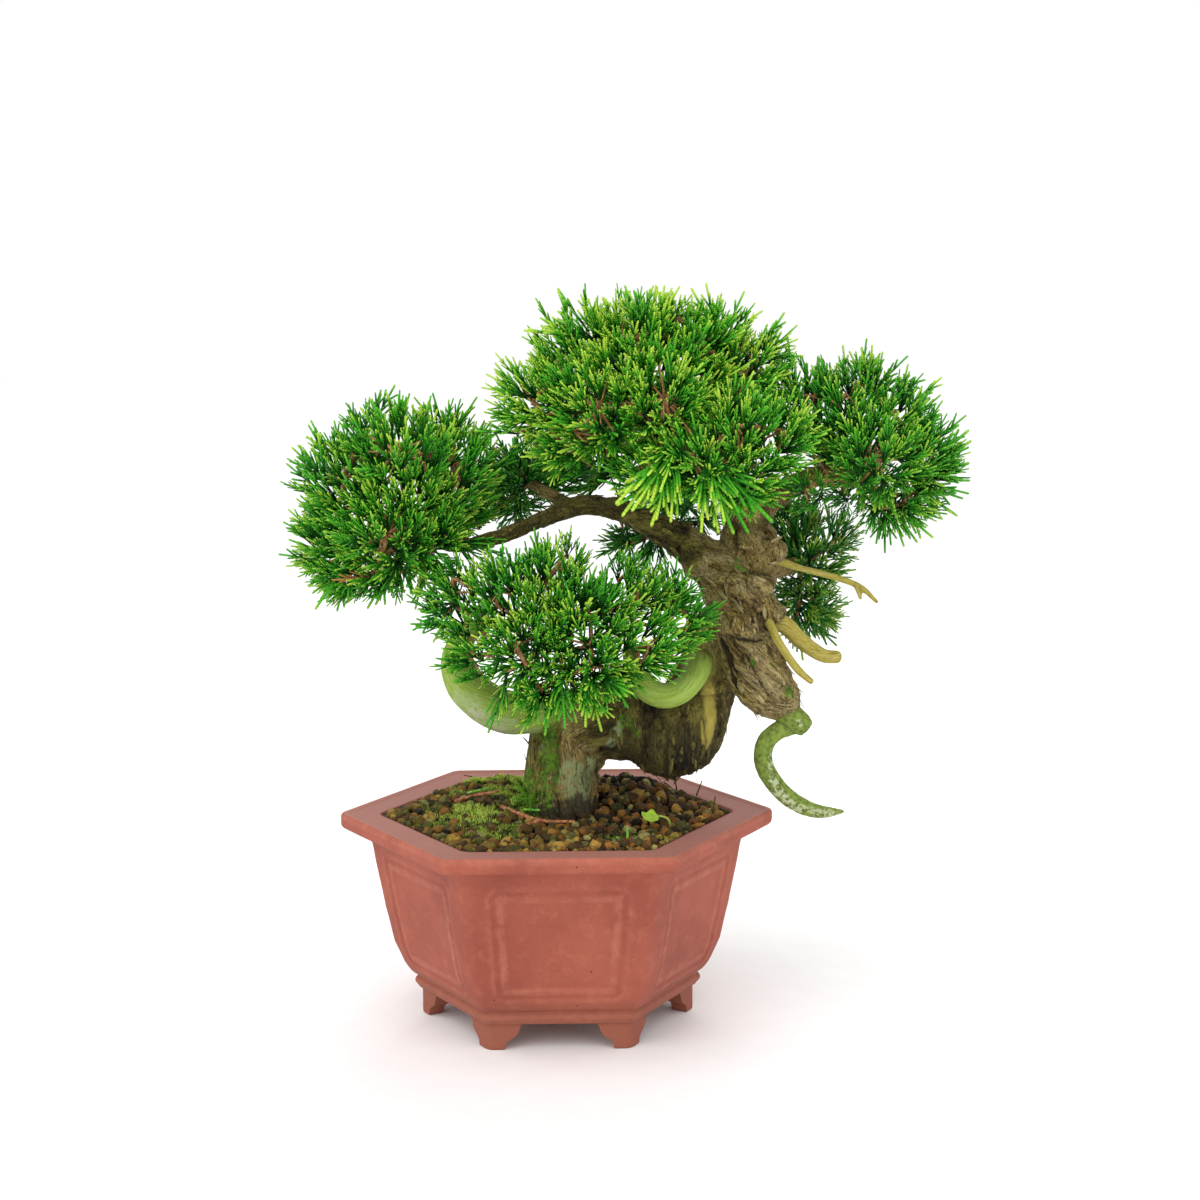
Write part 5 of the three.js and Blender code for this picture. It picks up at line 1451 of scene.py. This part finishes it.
# The soil, its grit and its moss
soil = {
    "edge": 100.4, "walls": [(23.4, 62.8), (28, 69.5), (38, 74.9), (62, 81.5), (90, 85.9), (100.4, 88.7)],
    "cornerCut": 1.1, "around": 132, "rings": 30,
    # mounds: x, y, height, spread
    "mounds": [(6, -4, 5, 30), (36, 25, 13, 18), (-32, 44, 6.5, 24), (-45, -12, 3.2, 22)],
    # moss cushions: x, y, half widths, how thick, how bright
    "cushions": [(-42, -12, 15, 17, 1.0, 1.0), (-62, 6, 12, 12, 0.6, 0.5), (-38, 56, 30, 13, 1.0, 0.85),
                 (-52, 34, 16, 9, 0.7, 0.6), (-29, 30, 10, 12, 0.9, 0.6), (-18, 6, 9, 17, 1.0, 0.75),
                 (-30, -40, 15, 14, 0.75, 0.5), (-58, -26, 14, 9, 0.6, 0.4), (-14, -20, 9, 7, 0.5, 0.3),
                 (29, -44, 11, 9, 0.5, 0.35), (34, 60, 18, 8, 0.8, 0.9), (66, 30, 10, 9, 0.4, 0.3),
                 (52, -52, 7, 5, 0.5, 0.5), (-4, -58, 16, 6, 0.35, 0.2), (24, -22, 8, 5, 0.3, 0.3)],
    "wallRow": (4.4, 2.4),  # the grains against the wall: how far apart, and how far from it
    # the grains: how far apart, how far from the wall and how far from the wood
    "grains": (5.2, 2.6, 1.5), "upperGrains": (7.0, 5.0, 2.0), "crumbs": (3.9, 1.6, 0.8),
    "grainSize": (2.1, 4.4), "crumbSize": (0.8, 1.7), "upperCount": 420, "crumbCount": 1150,
    "grainKinds": (9, 16, (0.6, 0.85)), "crumbKinds": (5, 10, (0.6, 0.9)),  # how many, corners, how flat
    "sharpEdge": 33,
    "grainSink": 1.7, "grainRise": 0.6,  # how far grains sink, and how much more they climb than the bed
    # how high each group lies
    "lifts": {"grains": 0.1, "upperGrains": 1.5, "boulders": 0.4, "edge": 0.1, "crumbs": 0.6},
    "rowStep": 0.866,  # from one row of places to the next, as a share of the room between them
    "footHeight": 104,  # height at which the grains and the moss are kept off the wood
    "boulders": [(-38, -47, 5.0), (-25, -55, 4.5), (-10, -59, 4.8), (4, -61, 4.3), (-53, -38, 4.4),
                 (20, -58, 4.4), (41, 6, 5.2), (47, 15, 4.6), (-2, -40, 4.2), (58, -12, 4.3)],
    "bedSink": 2.2, "rimRise": 2.7,  # how far the bed lies under the grains, and how far it climbs at the pot
    "climb": (0.7, 0.97),  # where it climbs, as a share of the way to the wall
    # where the grains are darker: x, y, how far, how much
    "glooms": [(38, 26, 24, 1.0), (6, 30, 20, 0.7), (-14, 12, 14, 0.6), (-30, 22, 14, 0.5),
               (-26, -30, 14, 0.45), (-62, 0, 26, 0.4), (10, -38, 14, 0.35)],
    "ferns": 46, "fernLength": 7.5, "fernLeaves": 6,
    "mossTufts": (1.7, 1.2, -1.0),  # as for the grains
    "tuftHeight": 2.5, "tuftSpikes": 5, "tuftKinds": 5, "fernKinds": 4,
    # the tufts on the wood: how many, from which share of moss, how high up, and where they grow taller
    "woodMoss": 520, "mossySkin": 0.45, "woodMossHeights": (101, 160), "tallTufts": (104, 135),
    "fernFoot": (-9, 2, 104, 117),  # the trunk's left foot: most x, most y, least and most z
    "colours": {"earth": "090702", "brown": "5e4017", "dark": "150e04", "orange": "ae7228",
                "ochre": "d0a044", "grey": "66602c", "pale": "c2b468", "algae": "566412",
                "mossRoot": "131d03", "mossDull": "66781c", "mossBright": "c6e05a", "twig": "8f4e2e",
                "twigPale": "c98e62", "fern": "4fa024", "fernTip": "9fd448", "leaf": "a9cf3c",
                "leafVein": "c9df7c", "needle": "2f9c3c", "chip": "b7ab84"},
}


def moundHeight(points):  # the height of the soil without its moss
    rise = sum(h * np.exp(-((points[:, 0] - x) ** 2 + (points[:, 1] - y) ** 2) / (2 * s * s))
               for x, y, h, s in soil["mounds"])
    inside = 1 - hexagonShare(points)
    return soil["edge"] + rise * smoothStep(inside, 0.0, 0.22)


def hexagonReach(angle, radius):  # how far the pot's wall is from the axis
    turned = np.mod(angle, math.pi / 3) - math.pi / 6
    return np.minimum(radius * math.cos(math.pi / 6) / np.cos(turned), radius - soil["cornerCut"])


def hexagonShare(points):  # 0 on the axis, 1 at the soil's edge
    angle = np.arctan2(points[:, 1], points[:, 0])
    return np.hypot(points[:, 0], points[:, 1]) / hexagonReach(angle, soil["walls"][-1][1])


def climbShare(points):  # 0 on the level soil, 1 where it has climbed to the pot
    return smoothStep(hexagonShare(points), *soil["climb"])


def mossShare(points):  # how thick and how bright the moss is at each place
    thick, bright = np.zeros(len(points)), np.zeros(len(points))
    ragged = cloudNoise(points * [0.16, 0.16, 0], 71, 3) * 0.42
    for x, y, rx, ry, most, light in soil["cushions"]:
        away = np.hypot((points[:, 0] - x) / rx, (points[:, 1] - y) / ry) + ragged
        share = most * smoothStep(1.15 - away, 0, 0.5)
        bright = np.where(share > thick, light, bright)
        thick = np.maximum(thick, share)
    return thick, bright


def bedHeight(points):
    thick, _ = mossShare(points)
    flat = points * [1, 1, 0]
    lumps = latticeNoise(flat * 0.22, 81) * 0.5 + latticeNoise(flat * 0.6, 82) * 0.25
    cushion = thick * (2.6 + 1.2 * latticeNoise(flat * 0.11, 83))
    rim = smoothStep(1 - hexagonShare(points), 0.0, 0.06)
    climb = soil["rimRise"] * climbShare(points)
    return moundHeight(points) - soil["bedSink"] + climb + (lumps + cushion) * rim


def makeBed():
    angles = turnsOf(soil["around"])
    ways = headings(angles)
    rings = [ways * hexagonReach(angles, radius)[:, None] + [0, 0, z] for z, radius in soil["walls"][:-1]]
    edge = ways * hexagonReach(angles, soil["walls"][-1][1])[:, None]
    for share in np.linspace(1, 0.03, soil["rings"]):
        ring = edge * share
        ring[:, 2] = bedHeight(ring)
        rings.append(ring)
    points, faces = lofted(rings)
    look, graph = newLook("dampEarth", Roughness=0.95)
    c = tints(soil)
    fine = graph.noise(graph.coords(), 600.0, 4.0, 0.65)
    colour = graph.mix(fine.between(0.35, 0.7), c["earth"], c["dark"])
    green = graph.mix(fine.between(0.3, 0.7), c["mossRoot"], c["mossDull"])
    colour = graph.mix(graph.mark("moss").between(0.15, 0.6), colour, green)
    graph.paint(colour, normal=graph.bump(fine, 0.0012, 0.9))
    thick, _ = mossShare(points)
    piece = makePiece("soilBed", points, faces, [look], {"moss": thick})
    place(piece, "gritty_soil", "soil")


def spreadPlaces(room, inset, margin, random):  # a shaken honeycomb of places in the pot, off the wood
    rows = []
    for j, y in enumerate(np.arange(-80, 80, room * soil["rowStep"])):
        for x in np.arange(-90, 90, room):
            rows.append((x + (j % 2) * room / 2, y, 0))
    places = np.array(rows, float)
    places[:, :2] += random.uniform(-0.38, 0.38, (len(places), 2)) * room
    rim = hexagonReach(np.arctan2(places[:, 1], places[:, 0]), soil["walls"][-1][1])
    places = places[np.hypot(places[:, 0], places[:, 1]) < rim - inset]
    return places[clearOfWood(places + [0, 0, soil["footHeight"]], margin)]


def hullKind(random, corners, flat):  # a rounded stone: the hull of points on a squashed ball
    points = unit(evenWays(corners, random.uniform(0, 6)) + random.normal(0, 0.16, (corners, 3)))
    points = points * [1, random.uniform(0.75, 0.95), random.uniform(*flat)]
    shape = bmesh.new()
    for point in points:
        shape.verts.new(point)
    hull = bmesh.ops.convex_hull(shape, input=shape.verts)
    loose = [v for v in hull["geom_interior"] if isinstance(v, bmesh.types.BMVert)]
    bmesh.ops.delete(shape, geom=loose, context="VERTS")
    bmesh.ops.triangulate(shape, faces=shape.faces)
    bmesh.ops.recalc_face_normals(shape, faces=shape.faces)
    shape.verts.index_update()
    made = np.array([v.co[:] for v in shape.verts]), [tuple(v.index for v in f.verts) for f in shape.faces]
    shape.free()
    return (*made, {})


def hullKinds(name, count, corners, flat, random):
    return kindsOf(name, [hullKind(random, corners, flat) for _ in range(count)])


def gloomAt(points):  # how dark the grains are, 0 to 1
    dark = 0.4 * smoothStep(cloudNoise(points * [0.09, 0.09, 0], 66, 2), -0.15, 0.4)
    for x, y, far, most in soil["glooms"]:
        dark = dark + most * np.exp(-((points[:, 0] - x) ** 2 + (points[:, 1] - y) ** 2) / far ** 2)
    return np.clip(dark, 0, 1)


def gritLook():
    look, graph = newLook("grit", Specular_IOR_Level=0.35)
    c = tints(soil)
    at, tone = graph.coords(), graph.mark("tone")
    blotch = graph.noise(at, 260.0, 3.0, 0.6)
    fine = graph.noise(at, 1400.0, 3.0, 0.65)
    stone = graph.ramp(tone + (blotch - 0.5) * 0.22, (0.0, c["dark"]), (0.24, c["brown"]), (0.5, c["orange"]),
                       (0.6, c["brown"]), (0.72, c["ochre"]), (0.8, c["grey"]), (0.9, c["dark"]),
                       (1.0, c["pale"]))
    algae = graph.mark("moss") * (blotch + (tone - 0.5) * 0.2).between(0.38, 0.7)
    colour = graph.coats(
        stone, (fine.between(0.3, 0.75) * 0.45, c["earth"]), (algae * 0.85, c["algae"]),
        (graph.mark("gloom") * (tone - 0.9).between(0.04, -0.08) * 0.9, c["earth"]),
        # painted shade between the stones darkens their low points to earth
        (graph.mark("under") * 0.85, c["earth"]))
    graph.paint(colour, 0.75 + fine * 0.2, graph.bump(fine * 0.6 + blotch, 0.0009, 0.8))
    return look


def wallPlaces(step, inset, random):  # places in a row along the pot's wall
    angle = np.linspace(0, 2 * math.pi, 1500)
    reach = hexagonReach(angle, soil["walls"][-1][1]) - inset
    line = np.stack([reach * np.cos(angle), reach * np.sin(angle)], 1)
    run = runAlong(line)
    at = np.arange(0, run[-1] - step / 2, step)
    at = at + random.uniform(0, 0.4, len(at)) * step
    return np.stack([np.interp(at, run, line[:, 0]), np.interp(at, run, line[:, 1]), at * 0], 1)


def makeGrit():
    random = np.random.default_rng(97)
    look = gritLook()
    spots = {}
    grains = spreadPlaces(*soil["grains"], random)
    thick, _ = mossShare(grains)
    spots["grains"] = grains[random.random(len(grains)) > thick * 0.75]
    upper = spreadPlaces(*soil["upperGrains"], random)
    thick, _ = mossShare(upper)
    spots["upperGrains"] = upper[random.random(len(upper)) > 0.25 + thick * 0.7][:soil["upperCount"]]
    crumbs = spreadPlaces(*soil["crumbs"], random)
    spots["crumbs"] = crumbs[random.permutation(len(crumbs))[:soil["crumbCount"]]]
    stoneKinds = hullKinds("stone", *soil["grainKinds"], random)
    crumbKinds = hullKinds("crumb", *soil["crumbKinds"], random)
    spots["boulders"] = np.array(soil["boulders"], float)
    spots["edge"] = wallPlaces(*soil["wallRow"], random)
    stoneGroups = ("grains", "upperGrains", "boulders", "edge")
    for name, groups, kinds, (least, most) in (("gritStones", stoneGroups, stoneKinds, soil["grainSize"]),
                                               ("gritCrumbs", ("crumbs",), crumbKinds, soil["crumbSize"])):
        places, sizes = [], []
        for group in groups:
            spot = spots[group].copy()
            radius = least + (most - least) * random.beta(1.6, 2.2, len(spot))
            if group == "boulders":
                radius = spot[:, 2].copy()
            elif group == "edge":
                radius = np.minimum(radius, soil["wallRow"][1])
            climb = (soil["rimRise"] + soil["grainRise"]) * climbShare(spot)
            shake = random.uniform(-0.5, 0.5, len(spot))
            height = moundHeight(spot) - soil["grainSink"] + climb + radius * 0.25
            spot[:, 2] = height + soil["lifts"][group] + shake
            places.append(spot)
            sizes.append(radius)
        places, sizes = np.concatenate(places), np.concatenate(sizes)
        thick, _ = mossShare(places)
        left = fading(places[:, 0], -40, 25)
        marks = {"aim": unit(random.normal(0, 1, (len(places), 3)) * [1, 1, 1.3]), "size": sizes,
                 "moss": np.clip(thick + left * random.uniform(0.1, 0.8, len(places)) + 0.12, 0, 1),
                 "gloom": gloomAt(places) * random.uniform(0.65, 1.0, len(places))}
        piece = strewn(name, places, marks, kinds, look, 7)
        points, _ = pointsOf(piece)  # painted shade: the lower a stone's point lies among its neighbours, the darker it is
        climb = soil["rimRise"] * climbShare(points)
        under = smoothStep(moundHeight(points) + climb - points[:, 2], -1.0, 1.6)
        setMarks(piece.data, {"under": under})
        piece.data.set_sharp_from_angle(angle=math.radians(soil["sharpEdge"]))
        place(piece, "gritty_soil", "soil")
    dropKinds(stoneKinds)
    dropKinds(crumbKinds)


def mossKind(random):  # short spikes that lean apart
    parts, tips = [], []
    for k in range(soil["tuftSpikes"]):
        angle, lean = k * 2.4 + random.uniform(-0.4, 0.4), random.uniform(0.15, 0.75) * (k > 0)
        out = heading(angle)
        root = out * 0.45 * (k > 0)
        way = out * math.sin(lean) + np.array([0, 0, math.cos(lean)])
        end = root + way * random.uniform(0.7, 1.1) * soil["tuftHeight"]
        across = np.cross(out, [0, 0, 1])
        base = [root + 0.34 * out, root - 0.2 * out + 0.3 * across, root - 0.2 * out - 0.3 * across]
        parts.append((np.array([*base, end]), [(0, 2, 1), (0, 1, 3), (1, 2, 3), (2, 0, 3)]))
        tips += [0, 0, 0, 1]
    points, faces = gathered(parts)
    return points, faces, {"tip": tips}


def fernKind(random):  # one frond: a stem with pairs of narrow leaves that shorten to its tip
    length, bend = soil["fernLength"], random.uniform(0.1, 0.3)
    parts, tips = [], []

    def spike(root, way, long, wide, tip):
        across = unit(np.cross(way, [0.1, 1, 0.2])) * wide
        up = unit(np.cross(across, way)) * wide * 0.6
        parts.append((np.array([root + across, root - across, root + up, root + way * long]),
                      [(0, 2, 1), (0, 1, 3), (1, 2, 3), (2, 0, 3)]))
        tips.extend([tip * 0.6] * 3 + [tip])

    spike(np.zeros(3), unit(np.array([0, -bend, 1.0])), length, 0.35, 0.7)
    for k in range(soil["fernLeaves"]):
        t = 0.12 + 0.14 * k
        for side in (-1, 1):
            way = unit(np.array([side * 0.9, -0.2, 0.75]) + random.normal(0, 0.08, 3))
            spike(np.array([0, -bend * t, t]) * length, way, length * 0.42 * (1.05 - t), 0.42, 0.5 + 0.5 * t)
    points, faces = gathered(parts)
    return points, faces, {"tip": tips}


def mossLook():
    look, graph = newLook("mossTufts", Roughness=0.8, Specular_IOR_Level=0.2)
    c = tints(soil)
    tip = graph.mark("tip") + (graph.mark("tone") - 0.5) * 0.5
    share = graph.mark("bright") + (graph.mark("tone") - 0.5) * 0.4
    tipColour = graph.mix(share, c["mossDull"], c["mossBright"])
    leafColour = graph.mix(tip.between(0.3, 1.1), c["fern"], c["fernTip"])
    tipColour = graph.mix(graph.mark("leafy"), tipColour, leafColour)
    graph.paint(graph.mix(tip.between(0.02, 1.0), c["mossRoot"], tipColour))
    return look


def makeMoss():
    random = np.random.default_rng(53)
    places = spreadPlaces(*soil["mossTufts"], random)
    thick, bright = mossShare(places)
    keep = random.random(len(places)) < thick * 1.15
    places, thick, bright = places[keep], thick[keep], bright[keep]
    places[:, 2] = bedHeight(places) - 0.25
    aims = unit(np.stack([random.normal(0, 0.3, len(places)), random.normal(0, 0.3, len(places)) - 0.1,
                          np.ones(len(places))], 1))
    sizes = 0.6 + 0.65 * thick * random.uniform(0.4, 1.15, len(places))
    # and on the mossy side of the trunk
    spots, normals = pointsOf(trunkPiece)
    share, (low, high) = markOf(trunkPiece, "moss"), soil["woodMossHeights"]
    mossy = np.where((share > soil["mossySkin"]) & (spots[:, 2] > low) & (spots[:, 2] < high))[0]
    mossy = random.permutation(mossy)[:soil["woodMoss"]]
    places = np.concatenate([places, spots[mossy] - normals[mossy] * 0.3])
    aims = np.concatenate([aims, unit(normals[mossy] + [0, 0, 0.5])])
    atFoot = 1 - smoothStep(spots[mossy][:, 2], *soil["tallTufts"])
    sizes = np.concatenate([sizes, 0.32 + 0.5 * atFoot * random.uniform(0.3, 1, len(mossy))])
    bright = np.concatenate([bright, 0.75 + 0.25 * random.random(len(mossy))])
    kinds, look = kindsOf("moss", [mossKind(random) for _ in range(soil["tuftKinds"])]), mossLook()
    marks = {"aim": aims, "size": sizes, "bright": bright, "leafy": 0 * sizes}
    place(strewn("mossTufts", places, marks, kinds, look, 19), "gritty_soil", "soil")
    dropKinds(kinds)
    # feathery moss that climbs the trunk's left foot
    right, back, low, high = soil["fernFoot"]
    x, y, z = spots.T
    foot = np.where((x < right) & (y < back) & (z > low) & (z < high))[0]
    foot = random.permutation(foot)[:soil["ferns"]]
    aims = unit(normals[foot] * [1, 1, 0.2] + [0, 0, 0.75] + random.normal(0, 0.25, (len(foot), 3)))
    sizes = random.uniform(0.55, 1.15, len(foot))
    marks = {"aim": aims, "size": sizes, "bright": 0.7 + 0 * sizes, "leafy": 1 + 0 * sizes}
    kinds = kindsOf("fern", [fernKind(random) for _ in range(soil["fernKinds"])])
    place(strewn("featheryMoss", spots[foot] - normals[foot], marks, kinds, look, 23), "gritty_soil", "soil")
    dropKinds(kinds)


# What lies on the soil
litter = {
    "twigs": {  # x, y along each, its side shoot's end, radius
        "fallen_twig_front": ([(-28, -5), (-8, -27), (8, -29)], (-18, -34), 1.15),
        "fallen_twig_left": ([(-52, 14), (-42, 20), (-30, 24)], (-36, 28), 1.15),
    },
    "twigLift": 1.7,
    "stalks": [  # x, y, height over the soil: thin stems and one twig across the rim
        [(62, 38, 0), (63, 38, 5), (62, 37, 10)], [(72, 34, 0), (74, 33, 6), (76, 34, 11)],
        [(78, -6, 0), (79, -5, 6), (80, -2, 11)], [(-26, 62, 1), (-38, 70, 3.6), (-49, 76, 5.6)],
        [(20, -48, 1.5), (26, -46, 2.2), (32, -47, 1.6)],
    ],
    "needles": [  # x, y, height: root and end of the green bits
        [(-17, -14, 3), (0, -18, 3.4)], [(33.5, -51, 0), (33.5, -50, 6.5)], [(31, -52, 0), (28, -54, 3)],
        [(36, -51, 0), (38, -53, 3)], [(-46, 22, 3.2), (-34, 25, 3.6)],
    ],
    "chip": (78, 8, 3.2),
    "weed": {"foot": (56, -26), "head": (46, -30), "height": 6.5, "radius": 4.6, "lobes": 5, "notch": 0.42,
             "notchWide": 0.33, "wave": 0.13, "cup": 0.036, "cupWave": 0.35, "halfThick": 0.14,
             "tilt": 0.38, "turn": 0.2, "around": 44, "out": 9},
}


def groundAt(x, y):
    return float(moundHeight(np.array([[x, y, 0.0]]))[0])


def ribbedTwig(path, radius):  # a dry shoot with the stubs of its scale leaves as ribs
    path = np.array(path, float)
    stations = np.column_stack([path, np.full(len(path), radius)])
    centres, radii, run = pathThrough(stations, 0.55)
    radii = radii * (1 - 0.3 * run / run[-1]) * (1 + 0.16 * np.sin(run * 2 * math.pi / 1.7))
    return tube(centres, radii, 8, 0.7)


def litterLook(name, low, high, scale):
    look, graph = newLook(name, Roughness=0.75)
    c = tints(soil)
    blotch = graph.noise(graph.coords(), scale, 3.0, 0.6)
    colour = graph.mix(blotch.between(0.35, 0.7), c[low], c[high])
    graph.paint(colour, normal=graph.bump(blotch, 0.0004, 0.7))
    return look


def makeLitter():
    brown = litterLook("dryTwig", "twig", "twigPale", 420.0)
    for name, (along, sideEnd, radius) in litter["twigs"].items():
        raised = [(x, y, groundAt(x, y) + litter["twigLift"]) for x, y in (*along, sideEnd)]
        parts = [ribbedTwig(raised[:-1], radius), ribbedTwig([raised[1], raised[-1]], radius * 0.9)]
        piece = makePiece(name.replace("fallen_twig_", "ribbedTwig_"), *gathered(parts), [brown])
        place(piece, "dry_twig", name)
    stalk = litterLook("thinStalks", "dark", "brown", 500.0)
    parts = []
    for line in litter["stalks"]:
        raised = [(x, y, groundAt(x, y) + up, 0.42) for x, y, up in line]
        centres, radii, _ = pathThrough(raised, 1.0)
        parts.append(tube(centres, radii * np.linspace(1.1, 0.7, len(radii)), 6, 0.6))
    place(makePiece("thinStalks", *gathered(parts), [stalk]), "dry_twig")
    parts = []
    for start, end in litter["needles"]:
        a, b = [np.array([x, y, groundAt(x, y) + up]) for x, y, up in (start, end)]
        steps = np.linspace(0, 1, 7)[:, None]
        parts.append(tube(a + (b - a) * steps, np.array([0.5, 0.75, 0.6, 0.75, 0.6, 0.7, 0.3]), 6, 0.6))
    needle = litterLook("greenNeedles", "needle", "leaf", 900.0)
    place(makePiece("greenNeedles", *gathered(parts), [needle]), "weed_leaf")
    x, y, size = litter["chip"]
    points, faces, _ = hullKind(np.random.default_rng(4), 18, (0.3, 0.34))
    chip = makePiece("paleChip", points * size * 1.5 + [x, y, groundAt(x, y) + 2.0], faces,
                     [litterLook("paleStone", "chip", "pale", 300.0)])
    place(chip, "gritty_soil")


def makeWeed():
    weed = litter["weed"]
    (footX, footY), (headX, headY) = weed["foot"], weed["head"]
    ground = groundAt(footX, footY)
    top = ground + weed["height"]
    stations = [(footX, footY, ground - 3, 0.6), (footX - 1, footY, ground + 4, 0.55),
                (footX - 5, footY - 2, top, 0.5), (headX + 2, headY, top + 0.3, 0.42)]
    centres, radii, _ = pathThrough(stations, 0.8)
    stem = tube(centres, radii, 8, 0.6)
    lobes, radius = weed["lobes"], weed["radius"]
    rows = []
    for i in range(1, weed["out"] + 1):
        row = []
        for angle in turnsOf(weed["around"]):
            fromNotch = min(angle, 2 * math.pi - angle)
            notch = weed["notch"] * math.exp(-(fromNotch / weed["notchWide"]) ** 2)
            edge = radius * (1 + weed["wave"] * math.cos(lobes * angle) - notch)
            r = edge * i / weed["out"]
            cup = weed["cup"] * r * r + weed["cupWave"] * math.cos(lobes * angle) * (r / radius) ** 2
            row.append((r * math.cos(angle), r * math.sin(angle), cup))
        rows.append(np.array(row))
    raised = np.array([0, 0, weed["halfThick"]])
    core = rows[0] * [0.2, 0.2, 0]
    upper, lower = [row + raised for row in rows], [row - raised for row in rows[::-1]]
    points, faces = lofted([core + raised, *upper, *lower, core - raised])
    tilt, turn = weed["tilt"], weed["turn"]
    y = points[:, 1] * math.cos(tilt) - points[:, 2] * math.sin(tilt)
    z = points[:, 1] * math.sin(tilt) + points[:, 2] * math.cos(tilt)
    x = points[:, 0] * math.cos(turn) - y * math.sin(turn)
    y = points[:, 0] * math.sin(turn) + y * math.cos(turn)
    blade = np.stack([x + headX, y + headY, z + top], 1)
    angle = np.arctan2(points[:, 1], points[:, 0])
    reach = np.hypot(points[:, 0], points[:, 1])
    vein = np.abs(np.sin(angle * lobes / 2 + math.pi / 2)) * reach * 0.4
    allPoints, faces = gathered([(blade, faces), stem])
    marks = {"vein": np.concatenate([np.clip(1 - vein / 0.3, 0, 1), np.full(len(stem[0]), 0.5)])}
    look, graph = newLook("weedLeaf", Roughness=0.5)
    c = tints(soil)
    mottle = graph.noise(graph.coords(), 380.0, 3.0)
    colour = graph.mix(mottle.between(0.3, 0.7) * 0.35, c["leaf"], c["algae"])
    colour = graph.mix(graph.mark("vein") * 0.7, colour, c["leafVein"])
    graph.paint(colour, normal=graph.bump(graph.mark("vein") + mottle * 0.3, 0.0003, 0.6))
    piece = makePiece("lobedWeed", allPoints, faces, [look], marks)
    outwardFaces(piece)
    place(piece, "weed_leaf", "weed")


def dressScreen():
    look, graph = newLook("blackMesh", IOR=1.46)
    grain = graph.noise(graph.coords(), 700.0, 2.0)
    graph.paint(graph.mix(grain, tint("141615"), tint("242725")), 0.45 + grain * 0.25)
    screen = bpy.data.objects["drain_screen"]
    screen.data.materials.clear()
    screen.data.materials.append(look)


makeBed()
makeGrit()
makeMoss()
makeLitter()
makeWeed()
dressScreen()
